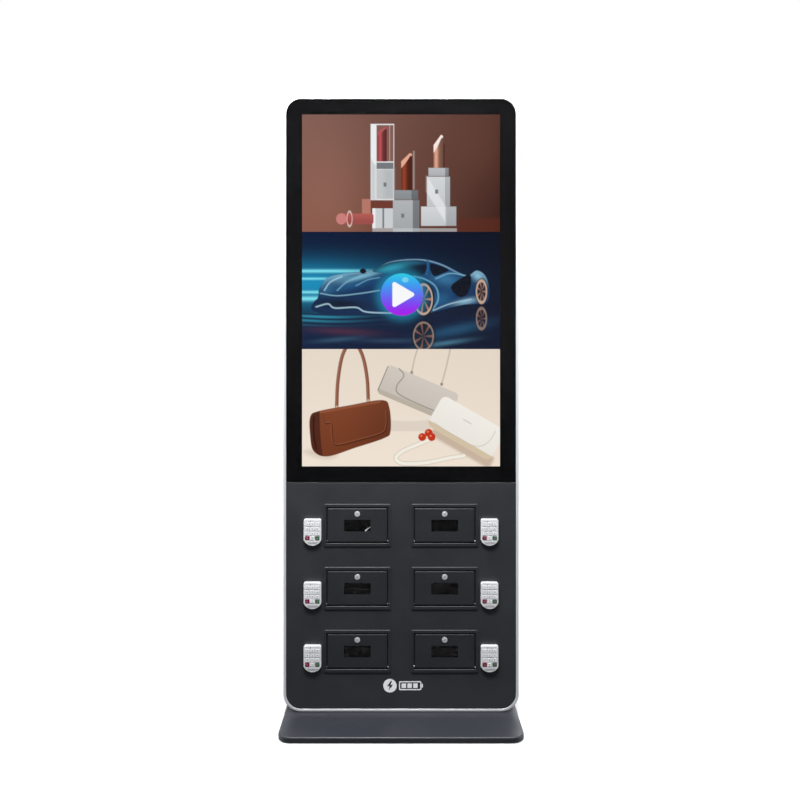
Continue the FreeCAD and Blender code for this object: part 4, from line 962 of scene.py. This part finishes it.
def window_film_painted_highlight():
    """Lifted corner of a window's film: a strip curling away from the acrylic as a quarter circle. The film
    is real, but its near-white colour is a painted highlight standing for the bright edges of the curl.
    """
    lo, hi = corner("door_window_1"), corner("door_window_1", False)
    u, v = np.meshgrid(np.linspace(0, 1, 16), np.linspace(0, 1, 10), indexing="ij")
    corner_x, corner_z = hi[0] - 6 * MM, lo[2] + 6 * MM
    along = 14 * MM * u
    lift = 1.6 * MM * (1 - np.cos(v * np.pi / 2))
    x = corner_x - 13 * MM + along - 2.2 * MM * v
    z = corner_z - 2.2 * MM + along * 0.85 + 2.4 * MM * v * (1 - 0.3 * u)
    y = lo[1] - 0.1 * MM - lift * (0.3 + 0.7 * u)
    mesh = mesh_from("window_film_painted_highlight", np.stack([x, y, z], -1).reshape(-1, 3), grid_quads(16, 10))
    film, tree, shader = new_material("peeling_film_painted_highlight")
    # near-white colour: a painted highlight for the bright edges of the film's curl
    shader.inputs["Base Color"].default_value = opaque(ink(230, 234, 238))
    creases = noise(tree, object_point(tree), 300.0)
    tree.links.new(remap(tree, creases, 0.3, 0.7, 0.1, 0.3), shader.inputs["Roughness"])
    piece = place("window_film_painted_highlight", mesh, "locker_door_1", film)
    solid = piece.modifiers.new("thickness", "SOLIDIFY")
    solid.thickness = 0.08 * MM


glass_border()
charge_emblem()
for number in LOCKERS:
    key_labels(number)
    keypad_marks(number)
window_film_painted_highlight()


# ---------------------------------------------------------------- floor, light, camera
def floor_disc(radius):
    """Pale round floor: rings of points whose radius grows from nothing to the rim."""
    rings, turns = np.linspace(0.01, radius, 12), np.linspace(0, 2 * np.pi, 96, endpoint=False)
    ring, turn = np.meshgrid(rings, turns, indexing="ij")
    points = np.stack([ring * np.cos(turn), ring * np.sin(turn), np.zeros(ring.shape)], -1)
    mesh = mesh_from("floor", points.reshape(-1, 3), grid_quads(12, 96, close_columns=True))
    mesh.materials.append(painted("floor_paper", ink(238, 238, 239), 0.7, 0.01, 0.0))
    floor = bpy.data.objects.new("floor", mesh)
    bpy.context.scene.collection.objects.link(floor)
    floor.visible_glossy = False
    floor.visible_diffuse = False


def soft_light(name, place_at, aim_at, width, height, watts):
    """A rectangular lamp that the camera doesn't see."""
    lamp = bpy.data.lights.new(name, "AREA")
    lamp.shape = "RECTANGLE"
    lamp.size, lamp.size_y, lamp.energy = width, height, watts
    holder = bpy.data.objects.new(name, lamp)
    bpy.context.scene.collection.objects.link(holder)
    holder.location = place_at
    holder.rotation_euler = (Vector(aim_at) - Vector(place_at)).to_track_quat("-Z", "Y").to_euler()
    holder.visible_camera = False


def grey(level):
    return (level, level, level * 1.02, 1.0)


def studio_world():
    """White surround seen by the camera. As light and in mirrors it is white behind the kiosk, dim in front.

    In front its brightness follows the height of the direction: nearly dark below the horizon, a soft band
    at eye level, and pale overhead.
    """
    world = bpy.data.worlds.new("studio")
    world.use_nodes = True
    bpy.context.scene.world = world
    tree = world.node_tree
    direction = parts_of(tree, tree.nodes.new("ShaderNodeTexCoord").outputs["Generated"])
    ramp = tree.nodes.new("ShaderNodeValToRGB")
    tree.links.new(remap(tree, direction[2], -1.0, 1.0, 0.0, 1.0), ramp.inputs[0])
    steps = ramp.color_ramp.elements
    steps[0].position, steps[0].color = 0.40, grey(FRONT_LOW)
    steps[1].position, steps[1].color = 1.0, grey(FRONT_OVERHEAD)
    for height, level in FRONT_BANDS:
        steps.new((height + 1) / 2).color = grey(level)
    behind = remap(tree, direction[1], *SIDE_TURN, 0.0, 1.0)
    around = blend_colour(tree, behind, ramp.outputs[0], grey(BEHIND))
    seen = tree.nodes.new("ShaderNodeLightPath").outputs["Is Camera Ray"]
    shade = tree.nodes["Background"]
    tree.links.new(blend_colour(tree, seen, around, (1.0, 1.0, 1.0, 1.0)), shade.inputs[0])
    shade.inputs[1].default_value = 1.0


FRONT_LOW, FRONT_OVERHEAD, BEHIND = 0.05, 0.35, 0.9
SIDE_TURN = (-0.5, 0.1)        # depth of a direction where the surround turns from its front to its rear tone
FRONT_BANDS = ((-0.16, 0.04), (-0.02, 0.16), (0.05, 0.22), (0.16, 0.12), (0.3, 0.2))

floor_disc(3.0)
studio_world()
soft_light("key_light", (-0.15, -1.15, 2.3), (-0.05, -0.1, 0.8), 1.2, 0.5, 66)
soft_light("top_light", (0, 0.4, 4.0), (0, 0.4, 0), 3.2, 3.0, 120)
soft_light("left_light", (-3.0, -0.4, 1.4), (0, 0, 0.9), 1.0, 2.6, 22)
soft_light("right_light", (3.0, -0.4, 1.4), (0, 0, 0.9), 1.0, 2.6, 22)
soft_light("back_light", (0.5, 3.2, 2.4), (0, 0, 0.9), 2.4, 2.0, 50)

scene = bpy.context.scene
scene.view_settings.view_transform = "Standard"
lens = bpy.data.cameras.new("camera")
camera = bpy.data.objects.new("camera", lens)
scene.collection.objects.link(camera)
scene.camera = camera
FACE_DISTANCE, EYE_HEIGHT, EYE_ACROSS = 2.1, 0.982, -0.0027
lens.sensor_width = 36.0
lens.lens = 35.42
lens.shift_y = -0.0625
camera.location = (EYE_ACROSS, float(corner("perimeter_frame")[1]) - FACE_DISTANCE, EYE_HEIGHT)
camera.rotation_euler = (math.pi / 2, 0, 0)
